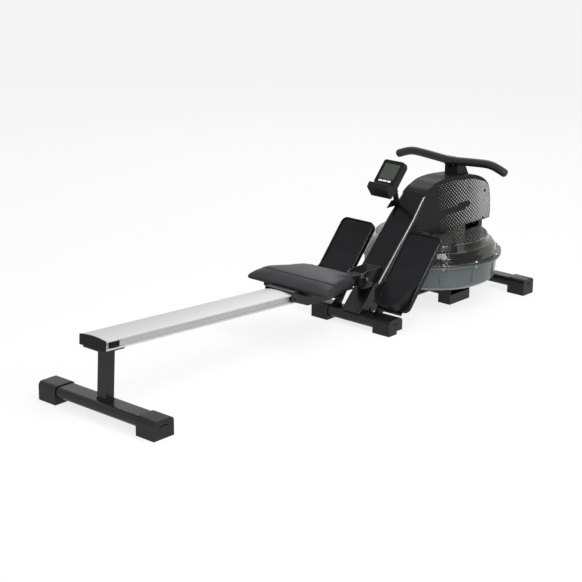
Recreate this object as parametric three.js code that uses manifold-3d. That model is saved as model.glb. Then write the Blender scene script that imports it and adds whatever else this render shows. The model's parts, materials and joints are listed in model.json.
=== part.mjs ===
// Water rowing machine: a tank with an impeller in front, foot plates, and a seat that rolls on a folding rail.
// Millimetres. +X runs from the rear foot to the tank, +Y is the rower's left, +Z is up, the floor is at Z = 0.
import * as THREE from 'three';
import { mergeVertices } from 'three/addons/utils/BufferGeometryUtils.js';
import Module from 'manifold-3d';

const wasm = await Module();
wasm.setup();

// Driving dimensions

const degrees = Math.PI / 180;
const gap = 0.3; // between two pieces that touch or are fastened together
const overrun = 4; // how far a cutting solid runs past the wall that it cuts
const arcSteps = 6;
const turnSteps = 24;
const tankSteps = 48;
const handleSteps = 24;
const cordSteps = 72;
const cordSides = 3;

const footCap = { wall: 3, endWall: 5, round: 15 };
const footTube = { wall: 2, round: 14 };
const rearFoot = { span: 514, capDepth: 83, capHeight: 61, capLength: 77, tubeHeight: 35 };
const midFoot = { span: 356, capDepth: 75, capHeight: 57, capLength: 74, tubeHeight: 40, padDepth: 45,
  padHeight: 12, lead: 8.1 }; // lead: ahead of the middle of the column's base
const frontFoot = { span: 508, capDepth: 64.5, capHeight: 61, capLength: 73.5, tubeHeight: 36 };

const rail = { overhang: 42, rearTopHeight: 263, slope: 3.25 * degrees, length: 1120, width: 112, height: 31,
  crown: 5, lip: 5, grooveDepth: 13, wall: 3 };
const endCap = { thickness: 5.7, proud: 1 };
const railStop = { start: 28, length: 34, depth: 11, headRound: 3.5, headDepth: 2 };
const rearPost = { lead: 5, depth: 33, width: 40, plateLength: 84, plateWidth: 92, plateThickness: 8 };

// The pivot of the folding rail stands ahead of the rail's end and under its top.
const fold = { reach: 142, below: 20, pinRadius: 6, eyeRadius: 17 };
const knuckle = { plugLength: 70, plugClearance: 1, shoulderLength: 42, bladeWidth: 60, rise: 2, drop: 4 };
const socket = { reach: 64.8, rear: 52, cheekThickness: 4, cheekClearance: 1, below: 34, above: 27,
  backWall: 6 };
const foldPin = { headRadius: 10, headLength: 5 };
const knob = { offset: 36, studRadius: 4, studReach: 9, radius: 17, thickness: 15, lobes: 6, lobeDepth: 2.4,
  neckLength: 3, notchFlare: 5, notchClearance: 1.3 };

const carriage = { length: 288, drop: 40, ahead: 2, roofClearance: 0.7, roofThickness: 2.5, sideThickness: 3,
  sideGap: 2.6 };
// Side view of the carriage's lower edge, from its rear end: shares of its length and of its drop.
const carriageEdgeShares = [[0, 0], [0, 0.325], [0.145, 0.675], [0.281, 1], [0.697, 1], [0.845, 0.75],
  [1, 0.675]];
const seat = { length: 164, overhang: 30, rearWidth: 338, frontWidth: 204, thickness: 36, crown: 9, cornerRound: 26,
  flare: 18, rearFlare: 62 };
// How far the crown's rings lie inside the edge and how high, as shares of a third of the width and of the crown.
const seatCrownShares = [[0.06, 0.45], [0.25, 0.7], [0.5, 0.86], [0.8, 0.98]];
const seatBase = { height: 3.7, inset: 7 };
const roller = { inset: 14, radius: 10.2, width: 10, axleRadius: 3, runningGap: 0.15 };

const column = { angle: 45.5 * degrees, width: 80, depth: 40, wall: 3 };
const columnCover = { width: 115, wall: 3, sideDepth: 46, below: 21.5, rise: 157 };
const baseBeam = { width: 60, top: 80, bottom: 33, wall: 3 };
const tankSupport = { behind: 27, ahead: 97, width: 230, padLength: 54 };
const upright = { depth: 24, width: 60, wall: 2.5, footLead: 11 };
const bridge = { width: 66, wall: 3, height: 39.5, cordClearance: 1.5 };

const tank = { bottomHeight: 96, bowlHeight: 94, flangeRadius: 260, flangeThickness: 7, wall: 4,
  columnClearance: 13.6, rimInset: 14, bowlInset: 20, floorInset: 35, floorRise: 12, domeInset: 16,
  shoulderInset: 34, topInset: 51,
  riserHeight: 26, shoulderHeight: 48, domeHeight: 69, bossRadius: 22, bossHeight: 5, ribs: 12, ribDepth: 3.5,
  ribWidth: 4, ribRise: 24 };
const shaft = { radius: 6, endFloat: 4 };
const lowerBearing = { radius: 14, height: 11, cupWall: 3 };
const upperBearing = { radius: 13, height: 8, flangeRadius: 16, flangeHeight: 2 };
const shaftSeal = { radius: 12, height: 9 };
const impeller = { hubRadius: 15, bladeRadius: 165, bladeHeight: 52, bladeThickness: 4, blades: 6, clearance: 12 };
const fillPlug = { behind: 81, side: 118, radius: 15, headRadius: 21, headHeight: 7, depth: 9 };

const drum = { clearance: 3, beltHeight: 24, radius: 27, flangeRadius: 36, flange: 2, cordHeight: 10,
  cordRadius: 16 };
const clutch = { radius: 11, runningGap: 0.05 };
const belt = { width: 20, thickness: 1.6, wraps: 2, runSteps: 10, turnSteps: 20, leadShare: 0.25, twistShare: 0.7,
  wrapAngle: 120 * degrees };
const pulley = { radius: 12, flangeRadius: 15, width: 24, flange: 1.5, axleRadius: 4, runningGap: 0.15, lead: 133,
  overRoof: 13.3 };
// The cord's guide and anchor stand behind and ahead of the shaft, by shares of the tank's radius.
const returnCord = { diameter: 6, guideShare: 0.369, guideRadius: 27, guideClearance: 0.8, offset: 12,
  anchorShare: 0.919, anchorThickness: 3 };

const hood = { height: 197, lowHalfWidth: 64.5, highHalfWidth: 46.9, wall: 3, sideWall: 3.2, rearDepth: 29.5,
  ahead: 6.7 };
// Side view of the hood as shares of its length and height: the lower edge from the column to the front,
// the edge from there over the top, the end of the roof on the column, and the rear edge along the column.
const hoodLowerShares = [[0, 0.234], [0.127, 0.132], [0.304, 0], [0.427, 0.01], [0.613, 0.025], [0.867, 0.015],
  [0.979, 0.02]];
const hoodUpperShares = [[0.994, 0.183], [1, 0.437], [0.987, 0.64], [0.943, 0.766], [0.873, 0.863], [0.774, 0.934],
  [0.636, 0.97], [0.512, 0.995], [0.389, 1], [0.304, 0.98], [0.243, 0.929]];
const hoodRoofRearShares = [[0.188, 0.878], [0.15, 0.815]];
const hoodRearShares = [[0.132, 0.66], [0.125, 0.497]];

const cradle = { behind: 23, topAhead: 23, baseAhead: 49, overPulley: 27, width: 58, wall: 3, slotWidth: 26 };
const handle = { behind: 28, overCradle: 13, span: 482, coreRadius: 11, gripRadius: 14.5, rise: 13, bendSide: 168,
  bendRound: 30, droop: 22, collarWidth: 38, collarRadius: 18, endWall: 5, pullAngle: 16 * degrees };

const displayArm = { rise: 108, reach: 90.2, lift: 67.9, thickness: 11, footLength: 34, footThickness: 4,
  footBehind: 26, footAhead: 24, linkBehind: 4, barrelWidth: 24 };
const display = { topAhead: 8, topRise: 110, faceLength: 97.7, faceAngle: 48.3 * degrees, width: 90, depth: 30,
  screenWidth: 66, screenLength: 62, screenTop: 14, screenDepth: 2, buttonWidth: 15, buttonLength: 7, buttonGap: 4,
  buttonProud: 1.6, buttonDepth: 4, buttonTravel: 1.2, buttonTop: 82, tiltRadius: 8, pinRadius: 2 };
// Behind and above, or below, the lower edge of the display's face.
const ledge = { lipReach: 25, lipRise: 7, noseReach: 37, noseDrop: 11, heelReach: 10, heelDrop: 48,
  lipThickness: 4 };

const pedal = { length: 299.8, angle: 48.9 * degrees, behind: 1, bottomHeight: 92, innerSide: 77, width: 148,
  thickness: 16, cornerRound: 22, lip: 5, lipHeight: 4, rib: 2, ribs: 14, ribHeight: 1.2 };
const heelCup = { length: 118, wall: 4, height: 44, base: 3, sideClearance: 3, travel: 55, drop: 14,
  slopeShare: 0.9 };
const pedalBracket = { thickness: 5, innerSide: 84, outerSide: 98, topWidth: 110, footBehind: 17, footAhead: 19,
  startShare: 0.046, endShare: 0.63 };

// Places that follow from those sizes

// On the sloping rail, u runs forward along it and w stands square to it.
const railX = (u, w) => u * Math.cos(rail.slope) + w * Math.sin(rail.slope) - rail.overhang;
const railZ = (u, w) => rail.rearTopHeight - u * Math.sin(rail.slope) + w * Math.cos(rail.slope);
const pivotU = rail.length + fold.reach;
const pivot = { x: railX(pivotU, -fold.below), z: railZ(pivotU, -fold.below) };

// X at height z on a line parallel to the column's face, moved forward into the column by depth.
function columnX(z, depth) {
  return pivot.x + socket.reach + (z - pivot.z) / Math.tan(column.angle) + depth / Math.sin(column.angle);
}
const columnRear = columnCover.wall + gap;
const columnFront = columnRear + column.depth;

const footTubeTop = (foot) => foot.capHeight - footCap.wall - gap;
const footTubeDepth = (foot) => foot.capDepth - 2 * (footCap.wall + gap);
const columnBase = footTubeTop(midFoot) + gap;

const tankFloor = tank.bottomHeight + tank.wall;
const tankJoint = tank.bottomHeight + tank.bowlHeight;
const tankTop = tankJoint + tank.domeHeight;
const tankX = columnX(tankJoint + tank.flangeThickness, columnFront) + tank.columnClearance + tank.flangeRadius;
const uprightX = tankX + tank.flangeRadius + gap + upright.depth / 2;
const footX = { rear: 0, mid: columnX(columnBase, (columnRear + columnFront) / 2) + midFoot.lead,
  front: uprightX + upright.footLead };

const drumBase = tankTop + tank.bossHeight + drum.clearance;
const drumMiddle = drumBase + drum.flange + drum.beltHeight / 2;
const drumTop = drumBase + 2 * drum.flange + drum.beltHeight;
const cordZ = drumTop + drum.cordHeight / 2;
const cordGuideX = tankX - returnCord.guideShare * tank.flangeRadius;
const cordAnchorX = tankX + returnCord.anchorShare * tank.flangeRadius;
const cordReturnY = returnCord.offset + returnCord.guideRadius;
const bridgeLow = cordZ + returnCord.diameter / 2 + bridge.cordClearance;
const bridgeTop = bridgeLow + bridge.height;

const hoodLow = tankTop + tank.bossHeight;
const hoodHigh = hoodLow + hood.height;
const hoodRear = columnX(hoodLow + hoodLowerShares[0][1] * hood.height, hood.rearDepth);
const hoodFront = uprightX + upright.depth / 2 + hood.ahead;
const onHood = (shares) => shares.map(([along, up]) => [hoodRear + along * (hoodFront - hoodRear),
  hoodLow + up * hood.height]);
const hoodOutline = onHood([...hoodLowerShares, ...hoodUpperShares, ...hoodRoofRearShares, ...hoodRearShares]);
const hoodRoofOutline = onHood([...hoodUpperShares, ...hoodRoofRearShares]);

// Height of the hood's roof at x.
function hoodTop(x) {
  const i = hoodRoofOutline.findIndex(([cornerX]) => cornerX <= x);
  const [[x1, z1], [x0, z0]] = [hoodRoofOutline[i - 1], hoodRoofOutline[i]];
  return z0 + (z1 - z0) * (x - x0) / (x1 - x0);
}

const pulleyX = tankX + pulley.lead;
const upperPulley = { x: pulleyX, z: hoodTop(pulleyX) + pulley.overRoof };
const lowerPulley = { x: pulleyX, z: drumMiddle + pulley.radius + gap };
const cradleTop = upperPulley.z + cradle.overPulley;
const handleAt = { x: pulleyX - handle.behind, z: cradleTop + handle.overCradle };

const armFoot = hoodLow + displayArm.rise;
const armFootTop = armFoot + displayArm.footLength * Math.sin(column.angle);
const armMiddle = (armFoot + armFootTop) / 2;
const tilt = { x: columnX(armMiddle, -gap) - displayArm.reach, z: armMiddle + displayArm.lift };

// Materials

const material = (color, roughness, metalness = 0, opacity = 1) =>
  new THREE.MeshStandardMaterial({ color, roughness, metalness, opacity, transparent: opacity < 1 });
const satinBlackPaint = material(0x1b1b1d, 0.38, 0.3);
const blackPlastic = material(0x1c1c1e, 0.5);
const glossBlackPlastic = material(0x141416, 0.25);
const blackRubber = material(0x161617, 0.8);
const anodisedAluminium = material(0xc9cacc, 0.3, 0.9);
const blackVinyl = material(0x222226, 0.55);
const foamGrip = material(0x171718, 0.85);
const clearSmoke = material(0x8b9496, 0.1, 0, 0.4);
const zincSteel = material(0xb4b4b6, 0.35, 0.9);
const greyNylon = material(0x55585c, 0.6);
const screenGlass = material(0x4c5048, 0.2);
const silverPlastic = material(0xcfd1d2, 0.4);
const wovenBlack = material(0x101011, 0.9);

// Solids

function asSolid(source) {
  const bare = new THREE.BufferGeometry();
  bare.setAttribute('position', source.getAttribute('position').clone());
  if (source.index) bare.setIndex(source.index.clone());
  const merged = mergeVertices(bare, 1e-4);
  const corners = merged.getAttribute('position');
  const faces = [];
  let volume = 0;
  const a = new THREE.Vector3();
  const b = new THREE.Vector3();
  const c = new THREE.Vector3();
  for (let i = 0; i < merged.index.count; i += 3) {
    const [p, q, r] = [merged.index.getX(i), merged.index.getX(i + 1), merged.index.getX(i + 2)];
    if (p === q || q === r || r === p) continue;
    a.fromBufferAttribute(corners, p);
    b.fromBufferAttribute(corners, q);
    c.fromBufferAttribute(corners, r);
    volume += a.dot(b.cross(c));
    faces.push(p, q, r);
  }
  if (volume < 0) {
    for (let i = 0; i < faces.length; i += 3) [faces[i], faces[i + 1]] = [faces[i + 1], faces[i]];
  }
  return new wasm.Manifold(new wasm.Mesh({
    numProp: 3,
    vertProperties: new Float32Array(corners.array),
    triVerts: new Uint32Array(faces),
  }));
}

function asGeometry(solid) {
  const mesh = solid.getMesh();
  const geometry = new THREE.BufferGeometry();
  geometry.setAttribute('position', new THREE.BufferAttribute(new Float32Array(mesh.vertProperties), 3));
  geometry.setIndex(new THREE.BufferAttribute(new Uint32Array(mesh.triVerts), 1));
  geometry.computeVertexNormals();
  return geometry;
}

const join = (...solids) => solids.reduce((whole, part) => whole.add(part));
const cut = (solid, ...tools) => tools.reduce((rest, tool) => rest.subtract(tool), solid);

function outlineShape(points) {
  return new THREE.Shape(points.map(([x, y]) => new THREE.Vector2(x, y)));
}

function roundedShape(width, height, radius) {
  const [w, h] = [width / 2, height / 2];
  const r = Math.min(radius, w, h);
  const shape = new THREE.Shape();
  shape.absarc(w - r, h - r, r, 0, Math.PI / 2, false);
  shape.absarc(-w + r, h - r, r, Math.PI / 2, Math.PI, false);
  shape.absarc(-w + r, -h + r, r, Math.PI, 1.5 * Math.PI, false);
  shape.absarc(w - r, -h + r, r, 1.5 * Math.PI, 2 * Math.PI, false);
  return shape;
}

const extruded = (shape, depth) =>
  new THREE.ExtrudeGeometry(shape, { depth, bevelEnabled: false, curveSegments: arcSteps });

// An outline in X and Z, extruded along Y and centred on y.
function acrossY(shape, width, y = 0) {
  return extruded(shape, width).rotateX(Math.PI / 2).translate(0, y + width / 2, 0);
}

// An outline in Y and Z, extruded along X from x.
function alongX(shape, length, x) {
  const turn = new THREE.Matrix4().makeBasis(
    new THREE.Vector3(0, 1, 0), new THREE.Vector3(0, 0, 1), new THREE.Vector3(1, 0, 0));
  return extruded(shape, length).applyMatrix4(turn).translate(x, 0, 0);
}

const sideOutline = (points, width, y = 0) => asSolid(acrossY(outlineShape(points), width, y));
const block = (x0, x1, y0, y1, z0, z1) =>
  asSolid(new THREE.BoxGeometry(x1 - x0, y1 - y0, z1 - z0)
    .translate((x0 + x1) / 2, (y0 + y1) / 2, (z0 + z1) / 2));
const uprightCylinder = (radius, z0, z1, x = 0, y = 0, steps = turnSteps) =>
  asSolid(new THREE.CylinderGeometry(radius, radius, z1 - z0, steps)
    .rotateX(Math.PI / 2).translate(x, y, (z0 + z1) / 2));
const crossCylinder = (radius, y0, y1, x, z, steps = turnSteps) =>
  asSolid(new THREE.CylinderGeometry(radius, radius, y1 - y0, steps).translate(x, (y0 + y1) / 2, z));

// A profile of radius and z turned about the upright axis at x; a profile off the axis is closed on itself.
function turned(profile, x, steps = turnSteps) {
  const closed = profile[0][0] > 0 ? [...profile, profile[0]] : profile;
  return asSolid(new THREE.LatheGeometry(closed.map(([r, z]) => new THREE.Vector2(r, z)), steps)
    .rotateX(Math.PI / 2).translate(x, 0, 0));
}

function mirrored(geometrySolid) {
  const geometry = asGeometry(geometrySolid);
  return asSolid(geometry.scale(1, -1, 1));
}

// A bar of round section along a curve, with flat ends.
function roundBar(curve, radius, steps, sides) {
  const section = new THREE.Shape();
  section.absarc(0, 0, radius, 0, 2 * Math.PI, false);
  return asSolid(new THREE.ExtrudeGeometry(section, {
    extrudePath: curve, steps, bevelEnabled: false, curveSegments: sides }));
}

// A flat strip along points, each with its own width direction.
function strip(points, width, thickness) {
  const corners = [];
  const faces = [];
  points.forEach(({ at, across, out }) => {
    const half = across.clone().multiplyScalar(width / 2);
    const rise = out.clone().multiplyScalar(thickness);
    [at.clone().add(half), at.clone().sub(half), at.clone().sub(half).add(rise), at.clone().add(half).add(rise)]
      .forEach((corner) => corners.push(corner.x, corner.y, corner.z));
  });
  const ring = (i, k) => 4 * i + (k % 4);
  for (let i = 0; i + 1 < points.length; i += 1) {
    for (let k = 0; k < 4; k += 1) {
      faces.push(ring(i, k), ring(i + 1, k), ring(i + 1, k + 1), ring(i, k), ring(i + 1, k + 1), ring(i, k + 1));
    }
  }
  const last = points.length - 1;
  faces.push(ring(0, 0), ring(0, 1), ring(0, 2), ring(0, 0), ring(0, 2), ring(0, 3));
  faces.push(ring(last, 2), ring(last, 1), ring(last, 0), ring(last, 3), ring(last, 2), ring(last, 0));
  const geometry = new THREE.BufferGeometry();
  geometry.setAttribute('position', new THREE.BufferAttribute(new Float32Array(corners), 3));
  geometry.setIndex(faces);
  return asSolid(geometry);
}

// Pieces

const machine = new THREE.Group();
const railGroup = new THREE.Group();
railGroup.position.set(railX(0, 0), 0, railZ(0, 0));
railGroup.rotation.y = rail.slope;
machine.add(railGroup);

function addPiece(name, solid, finish, parent = machine) {
  const mesh = new THREE.Mesh(asGeometry(solid), finish);
  mesh.name = name;
  parent.add(mesh);
  return mesh;
}

const bothSides = [['left', 1], ['right', -1]];

// Feet

function footTubeSolid(foot, x) {
  const depth = footTubeDepth(foot);
  const length = foot.span - 2 * (footCap.endWall + gap);
  const middle = footTubeTop(foot) - foot.tubeHeight / 2;
  const outer = acrossY(roundedShape(depth, foot.tubeHeight, footTube.round), length);
  const inner = acrossY(roundedShape(depth - 2 * footTube.wall, foot.tubeHeight - 2 * footTube.wall,
    footTube.round - footTube.wall), length + 2 * overrun);
  return cut(asSolid(outer), asSolid(inner)).translate([x, 0, middle]);
}

function footCapSolid(foot, x, side) {
  const half = foot.capDepth / 2;
  const round = footCap.round;
  const profile = new THREE.Shape();
  const { padDepth = foot.capDepth, padHeight = 0 } = foot;
  profile.moveTo(-half, 0);
  profile.lineTo(padDepth - half, 0);
  if (padHeight) profile.lineTo(padDepth - half, padHeight);
  if (padHeight) profile.lineTo(half, padHeight);
  profile.lineTo(half, foot.capHeight - round);
  profile.absarc(half - round, foot.capHeight - round, round, 0, Math.PI / 2, false);
  profile.absarc(round - half, foot.capHeight - round, round, Math.PI / 2, Math.PI, false);
  const outerY = side * (foot.span / 2 - foot.capLength / 2);
  const boot = asSolid(acrossY(profile, foot.capLength, outerY).translate(x, 0, 0));
  const middle = footTubeTop(foot) - foot.tubeHeight / 2;
  const seatLength = foot.span - 2 * footCap.endWall;
  const bore = asSolid(acrossY(roundedShape(footTubeDepth(foot) + 2 * gap, foot.tubeHeight + 2 * gap,
    footTube.round + gap), seatLength).translate(x, 0, middle));
  return cut(boot, bore);
}

function addFootCaps(prefix, foot, x) {
  bothSides.forEach(([side, sign]) => {
    addPiece(`${prefix}_foot_cap_${side}`, footCapSolid(foot, x, sign), blackRubber);
  });
}

// Rail with its fittings

const railSide = rail.width / 2;
const groove = { top: -rail.lip, bottom: -rail.height + rail.lip, inner: railSide - rail.grooveDepth };

function railSection(grow = 0) {
  const side = railSide + grow;
  const radius = (side * side + rail.crown * rail.crown) / (2 * rail.crown);
  const sweep = Math.asin(side / radius);
  const shape = new THREE.Shape();
  shape.moveTo(-side, -rail.height - grow);
  shape.lineTo(side, -rail.height - grow);
  shape.lineTo(side, grow);
  shape.absarc(0, rail.crown + grow - radius, radius, Math.PI / 2 - sweep, Math.PI / 2 + sweep, false);
  return shape;
}

function addRail() {
  const bar = asSolid(alongX(railSection(), rail.length - endCap.thickness - gap, endCap.thickness + gap));
  const grooves = bothSides.map(([, sign]) => {
    const [y0, y1] = [sign * groove.inner, sign * (railSide + overrun)].sort((a, b) => a - b);
    return block(-overrun, rail.length + overrun, y0, y1, groove.bottom, groove.top);
  });
  const hollowSide = groove.inner - rail.wall;
  const hollow = block(-overrun, rail.length + overrun, -hollowSide, hollowSide, rail.wall - rail.height,
    -rail.wall);
  addPiece('rail', cut(bar, ...grooves, hollow), anodisedAluminium, railGroup);
  const cap = asSolid(alongX(railSection(endCap.proud), endCap.thickness, 0));
  addPiece('rail_end_cap', cap, blackPlastic, railGroup);
  bothSides.forEach(([side, sign]) => {
    const middle = (groove.top + groove.bottom) / 2;
    const inner = groove.inner + gap;
    const outer = inner + railStop.depth;
    const body = block(railStop.start, railStop.start + railStop.length, inner, outer,
      groove.bottom + gap, groove.top - gap);
    const screwHead = crossCylinder(railStop.headRound, outer - overrun, outer + railStop.headDepth,
      railStop.start + railStop.length / 2, middle);
    const stop = join(body, screwHead);
    addPiece(`rail_stop_${side}`, sign > 0 ? stop : mirrored(stop), blackPlastic, railGroup);
  });
}

function addRearLeg() {
  const topW = -rail.height - gap;
  const plateStart = endCap.thickness + gap;
  const plateEnd = plateStart + rearPost.plateLength;
  const lean = Math.tan(rail.slope);
  const baseZ = footTubeTop(rearFoot) - footTube.wall / 2;
  const postAt = (z, side) => footX.rear + rearPost.lead + (z - baseZ) * lean + side * rearPost.depth / 2;
  const plateZ = railZ(rearPost.plateLength / 2, topW - rearPost.plateThickness / 2);
  const post = sideOutline([[postAt(baseZ, -1), baseZ], [postAt(baseZ, 1), baseZ],
    [postAt(plateZ, 1), plateZ], [postAt(plateZ, -1), plateZ]], rearPost.width);
  const plate = asSolid(acrossY(outlineShape([[plateStart, topW - rearPost.plateThickness],
    [plateEnd, topW - rearPost.plateThickness], [plateEnd, topW], [plateStart, topW]]),
  rearPost.plateWidth).applyMatrix4(railGroup.matrixWorld));
  addPiece('rear_leg', join(footTubeSolid(rearFoot, footX.rear), post, plate), satinBlackPaint);
  addFootCaps('rear', rearFoot, footX.rear);
}

function addFoldJoint() {
  // The knuckle plugs into the rail and carries the pivot's eye; its shoulder stops the seat.
  const shoulderStart = rail.length + gap;
  const shoulderEnd = shoulderStart + knuckle.shoulderLength;
  const plugSide = groove.inner - rail.wall - knuckle.plugClearance;
  const plug = block(rail.length - knuckle.plugLength, shoulderStart + overrun, -plugSide, plugSide,
    rail.wall + knuckle.plugClearance - rail.height, -rail.wall - knuckle.plugClearance);
  const low = -rail.height - knuckle.drop;
  const shoulder = block(shoulderStart, shoulderEnd, -railSide, railSide, low, knuckle.rise);
  const pivotW = -fold.below;
  const blade = sideOutline([[shoulderEnd - overrun, low], [pivotU, pivotW - fold.eyeRadius],
    [pivotU, pivotW + fold.eyeRadius], [shoulderEnd - overrun, knuckle.rise]], knuckle.bladeWidth);
  const halfBlade = knuckle.bladeWidth / 2;
  const eye = crossCylinder(fold.eyeRadius, -halfBlade, halfBlade, pivotU, pivotW);
  const bore = crossCylinder(fold.pinRadius + gap, -halfBlade - overrun, halfBlade + overrun, pivotU, pivotW);
  // The locking stud drops into a notch that is open at the bottom.
  const studU = pivotU - knob.offset;
  const notchTop = knob.studRadius + knob.notchClearance;
  const notchSide = knob.studRadius + knob.notchClearance;
  const notchDepth = knob.studReach + knob.notchClearance;
  const notch = sideOutline([[studU - notchSide, pivotW + notchTop],
    [studU - notchSide - knob.notchFlare, low - overrun], [studU + notchSide + knob.notchFlare, low - overrun],
    [studU + notchSide, pivotW + notchTop]], notchDepth + overrun, -halfBlade + (notchDepth - overrun) / 2);
  addPiece('rail_knuckle', cut(join(plug, shoulder, blade, eye), bore, notch), satinBlackPaint, railGroup);

  // Two cheeks on the column hold the pin on both sides of the eye.
  const cheekInner = halfBlade + socket.cheekClearance;
  const cheekOuter = cheekInner + socket.cheekThickness;
  const cheekMiddle = (cheekInner + cheekOuter) / 2;
  const cheekLow = pivot.z - socket.below;
  const cheekHigh = pivot.z + socket.above;
  const cheek = [[pivot.x - socket.rear, pivot.z - fold.eyeRadius], [pivot.x - fold.eyeRadius, cheekLow],
    [columnX(cheekLow, -gap), cheekLow], [columnX(cheekHigh, -gap), cheekHigh], [pivot.x, cheekHigh],
    [pivot.x - socket.rear, pivot.z + fold.eyeRadius / 2]];
  const cheeks = bothSides.map(([, sign]) => sideOutline(cheek, socket.cheekThickness, sign * cheekMiddle));
  const back = sideOutline([[columnX(cheekLow, -gap - socket.backWall), cheekLow],
    [columnX(cheekLow, -gap), cheekLow], [columnX(cheekHigh, -gap), cheekHigh],
    [columnX(cheekHigh, -gap - socket.backWall), cheekHigh]], 2 * cheekOuter);
  const pinBore = crossCylinder(fold.pinRadius + gap, -cheekOuter - overrun, cheekOuter + overrun, pivot.x,
    pivot.z);
  const stud = { x: railX(studU, pivotW), z: railZ(studU, pivotW) };
  const studBore = crossCylinder(knob.studRadius + gap, -cheekOuter - overrun, 0, stud.x, stud.z);
  addPiece('rail_socket', cut(join(...cheeks, back), pinBore, studBore), satinBlackPaint);

  const pin = join(crossCylinder(fold.pinRadius, -cheekOuter - gap - overrun, cheekOuter + gap, pivot.x, pivot.z),
    crossCylinder(foldPin.headRadius, cheekOuter + gap, cheekOuter + gap + foldPin.headLength, pivot.x, pivot.z));
  addPiece('fold_pin', pin, zincSteel);

  // A lobed knob on a stud.
  const rim = [];
  const rimSteps = 8 * knob.lobes;
  for (let i = 0; i < rimSteps; i += 1) {
    const angle = 2 * Math.PI * i / rimSteps;
    const radius = knob.radius - knob.lobeDepth * (1 - Math.cos(knob.lobes * angle)) / 2;
    rim.push([stud.x + radius * Math.cos(angle), stud.z + radius * Math.sin(angle)]);
  }
  const knobInner = -cheekOuter - gap - knob.neckLength;
  const grip = sideOutline(rim, knob.thickness, knobInner - knob.thickness / 2);
  const collar = crossCylinder(knob.radius / 2, knobInner - overrun, -cheekOuter - gap, stud.x, stud.z);
  const screw = crossCylinder(knob.studRadius, knobInner - overrun, -halfBlade + knob.studReach, stud.x, stud.z);
  addPiece('fold_knob', join(grip, collar, screw), blackPlastic);
}

// Seat

const carriageFront = rail.length + carriage.ahead;
const carriageRear = carriageFront - carriage.length;
const seatFront = carriageFront - seat.overhang;
const seatRear = seatFront - seat.length;
const carriageTop = rail.crown + endCap.proud + carriage.roofClearance + carriage.roofThickness;
const trayBottom = carriageTop + gap;
const cushionBottom = trayBottom + seatBase.height + gap;

function seatPlan(grow, rearGrow) {
  const rearHalf = seat.rearWidth / 2 + grow;
  const frontHalf = seat.frontWidth / 2 + grow;
  const [rearU, frontU] = [seatRear - rearGrow, seatFront + grow / 2];
  const corners = [[rearU, -rearHalf], [frontU, -frontHalf], [frontU, frontHalf], [rearU, rearHalf]];
  const shape = new THREE.Shape();
  corners.forEach((corner, i) => {
    const before = new THREE.Vector2(...corners[(i + 3) % 4]);
    const here = new THREE.Vector2(...corner);
    const after = new THREE.Vector2(...corners[(i + 1) % 4]);
    const start = before.clone().sub(here).setLength(seat.cornerRound).add(here);
    const end = after.clone().sub(here).setLength(seat.cornerRound).add(here);
    if (i === 0) shape.moveTo(start.x, start.y);
    else shape.lineTo(start.x, start.y);
    shape.quadraticCurveTo(here.x, here.y, end.x, end.y);
  });
  return shape.getPoints(4);
}

// Rings of the same plan, each grown by its own amount and lifted to its own height, closed at both ends.
function stackedRings(levels) {
  const corners = [];
  const faces = [];
  const rings = levels.map(({ grow, rearGrow, z }) => {
    const plan = seatPlan(grow, rearGrow);
    const unique = plan.filter((p, i) => p.distanceTo(plan[(i + 1) % plan.length]) > gap);
    unique.forEach((p) => corners.push(p.x, p.y, z));
    return unique.length;
  });
  const count = rings[0];
  for (let level = 0; level + 1 < levels.length; level += 1) {
    for (let k = 0; k < count; k += 1) {
      const [a, b] = [level * count + k, level * count + (k + 1) % count];
      faces.push(a, b, b + count, a, b + count, a + count);
    }
  }
  const middleU = (seatRear + seatFront) / 2;
  [[0, levels[0], true], [(levels.length - 1) * count, levels[levels.length - 1], false]]
    .forEach(([start, level, below]) => {
      const centre = corners.length / 3;
      corners.push(middleU, 0, level.z);
      for (let k = 0; k < count; k += 1) {
        const [a, b] = [start + k, start + (k + 1) % count];
        faces.push(...(below ? [centre, b, a] : [centre, a, b]));
      }
    });
  const geometry = new THREE.BufferGeometry();
  geometry.setAttribute('position', new THREE.BufferAttribute(new Float32Array(corners), 3));
  geometry.setIndex(faces);
  return asSolid(geometry);
}

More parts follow.
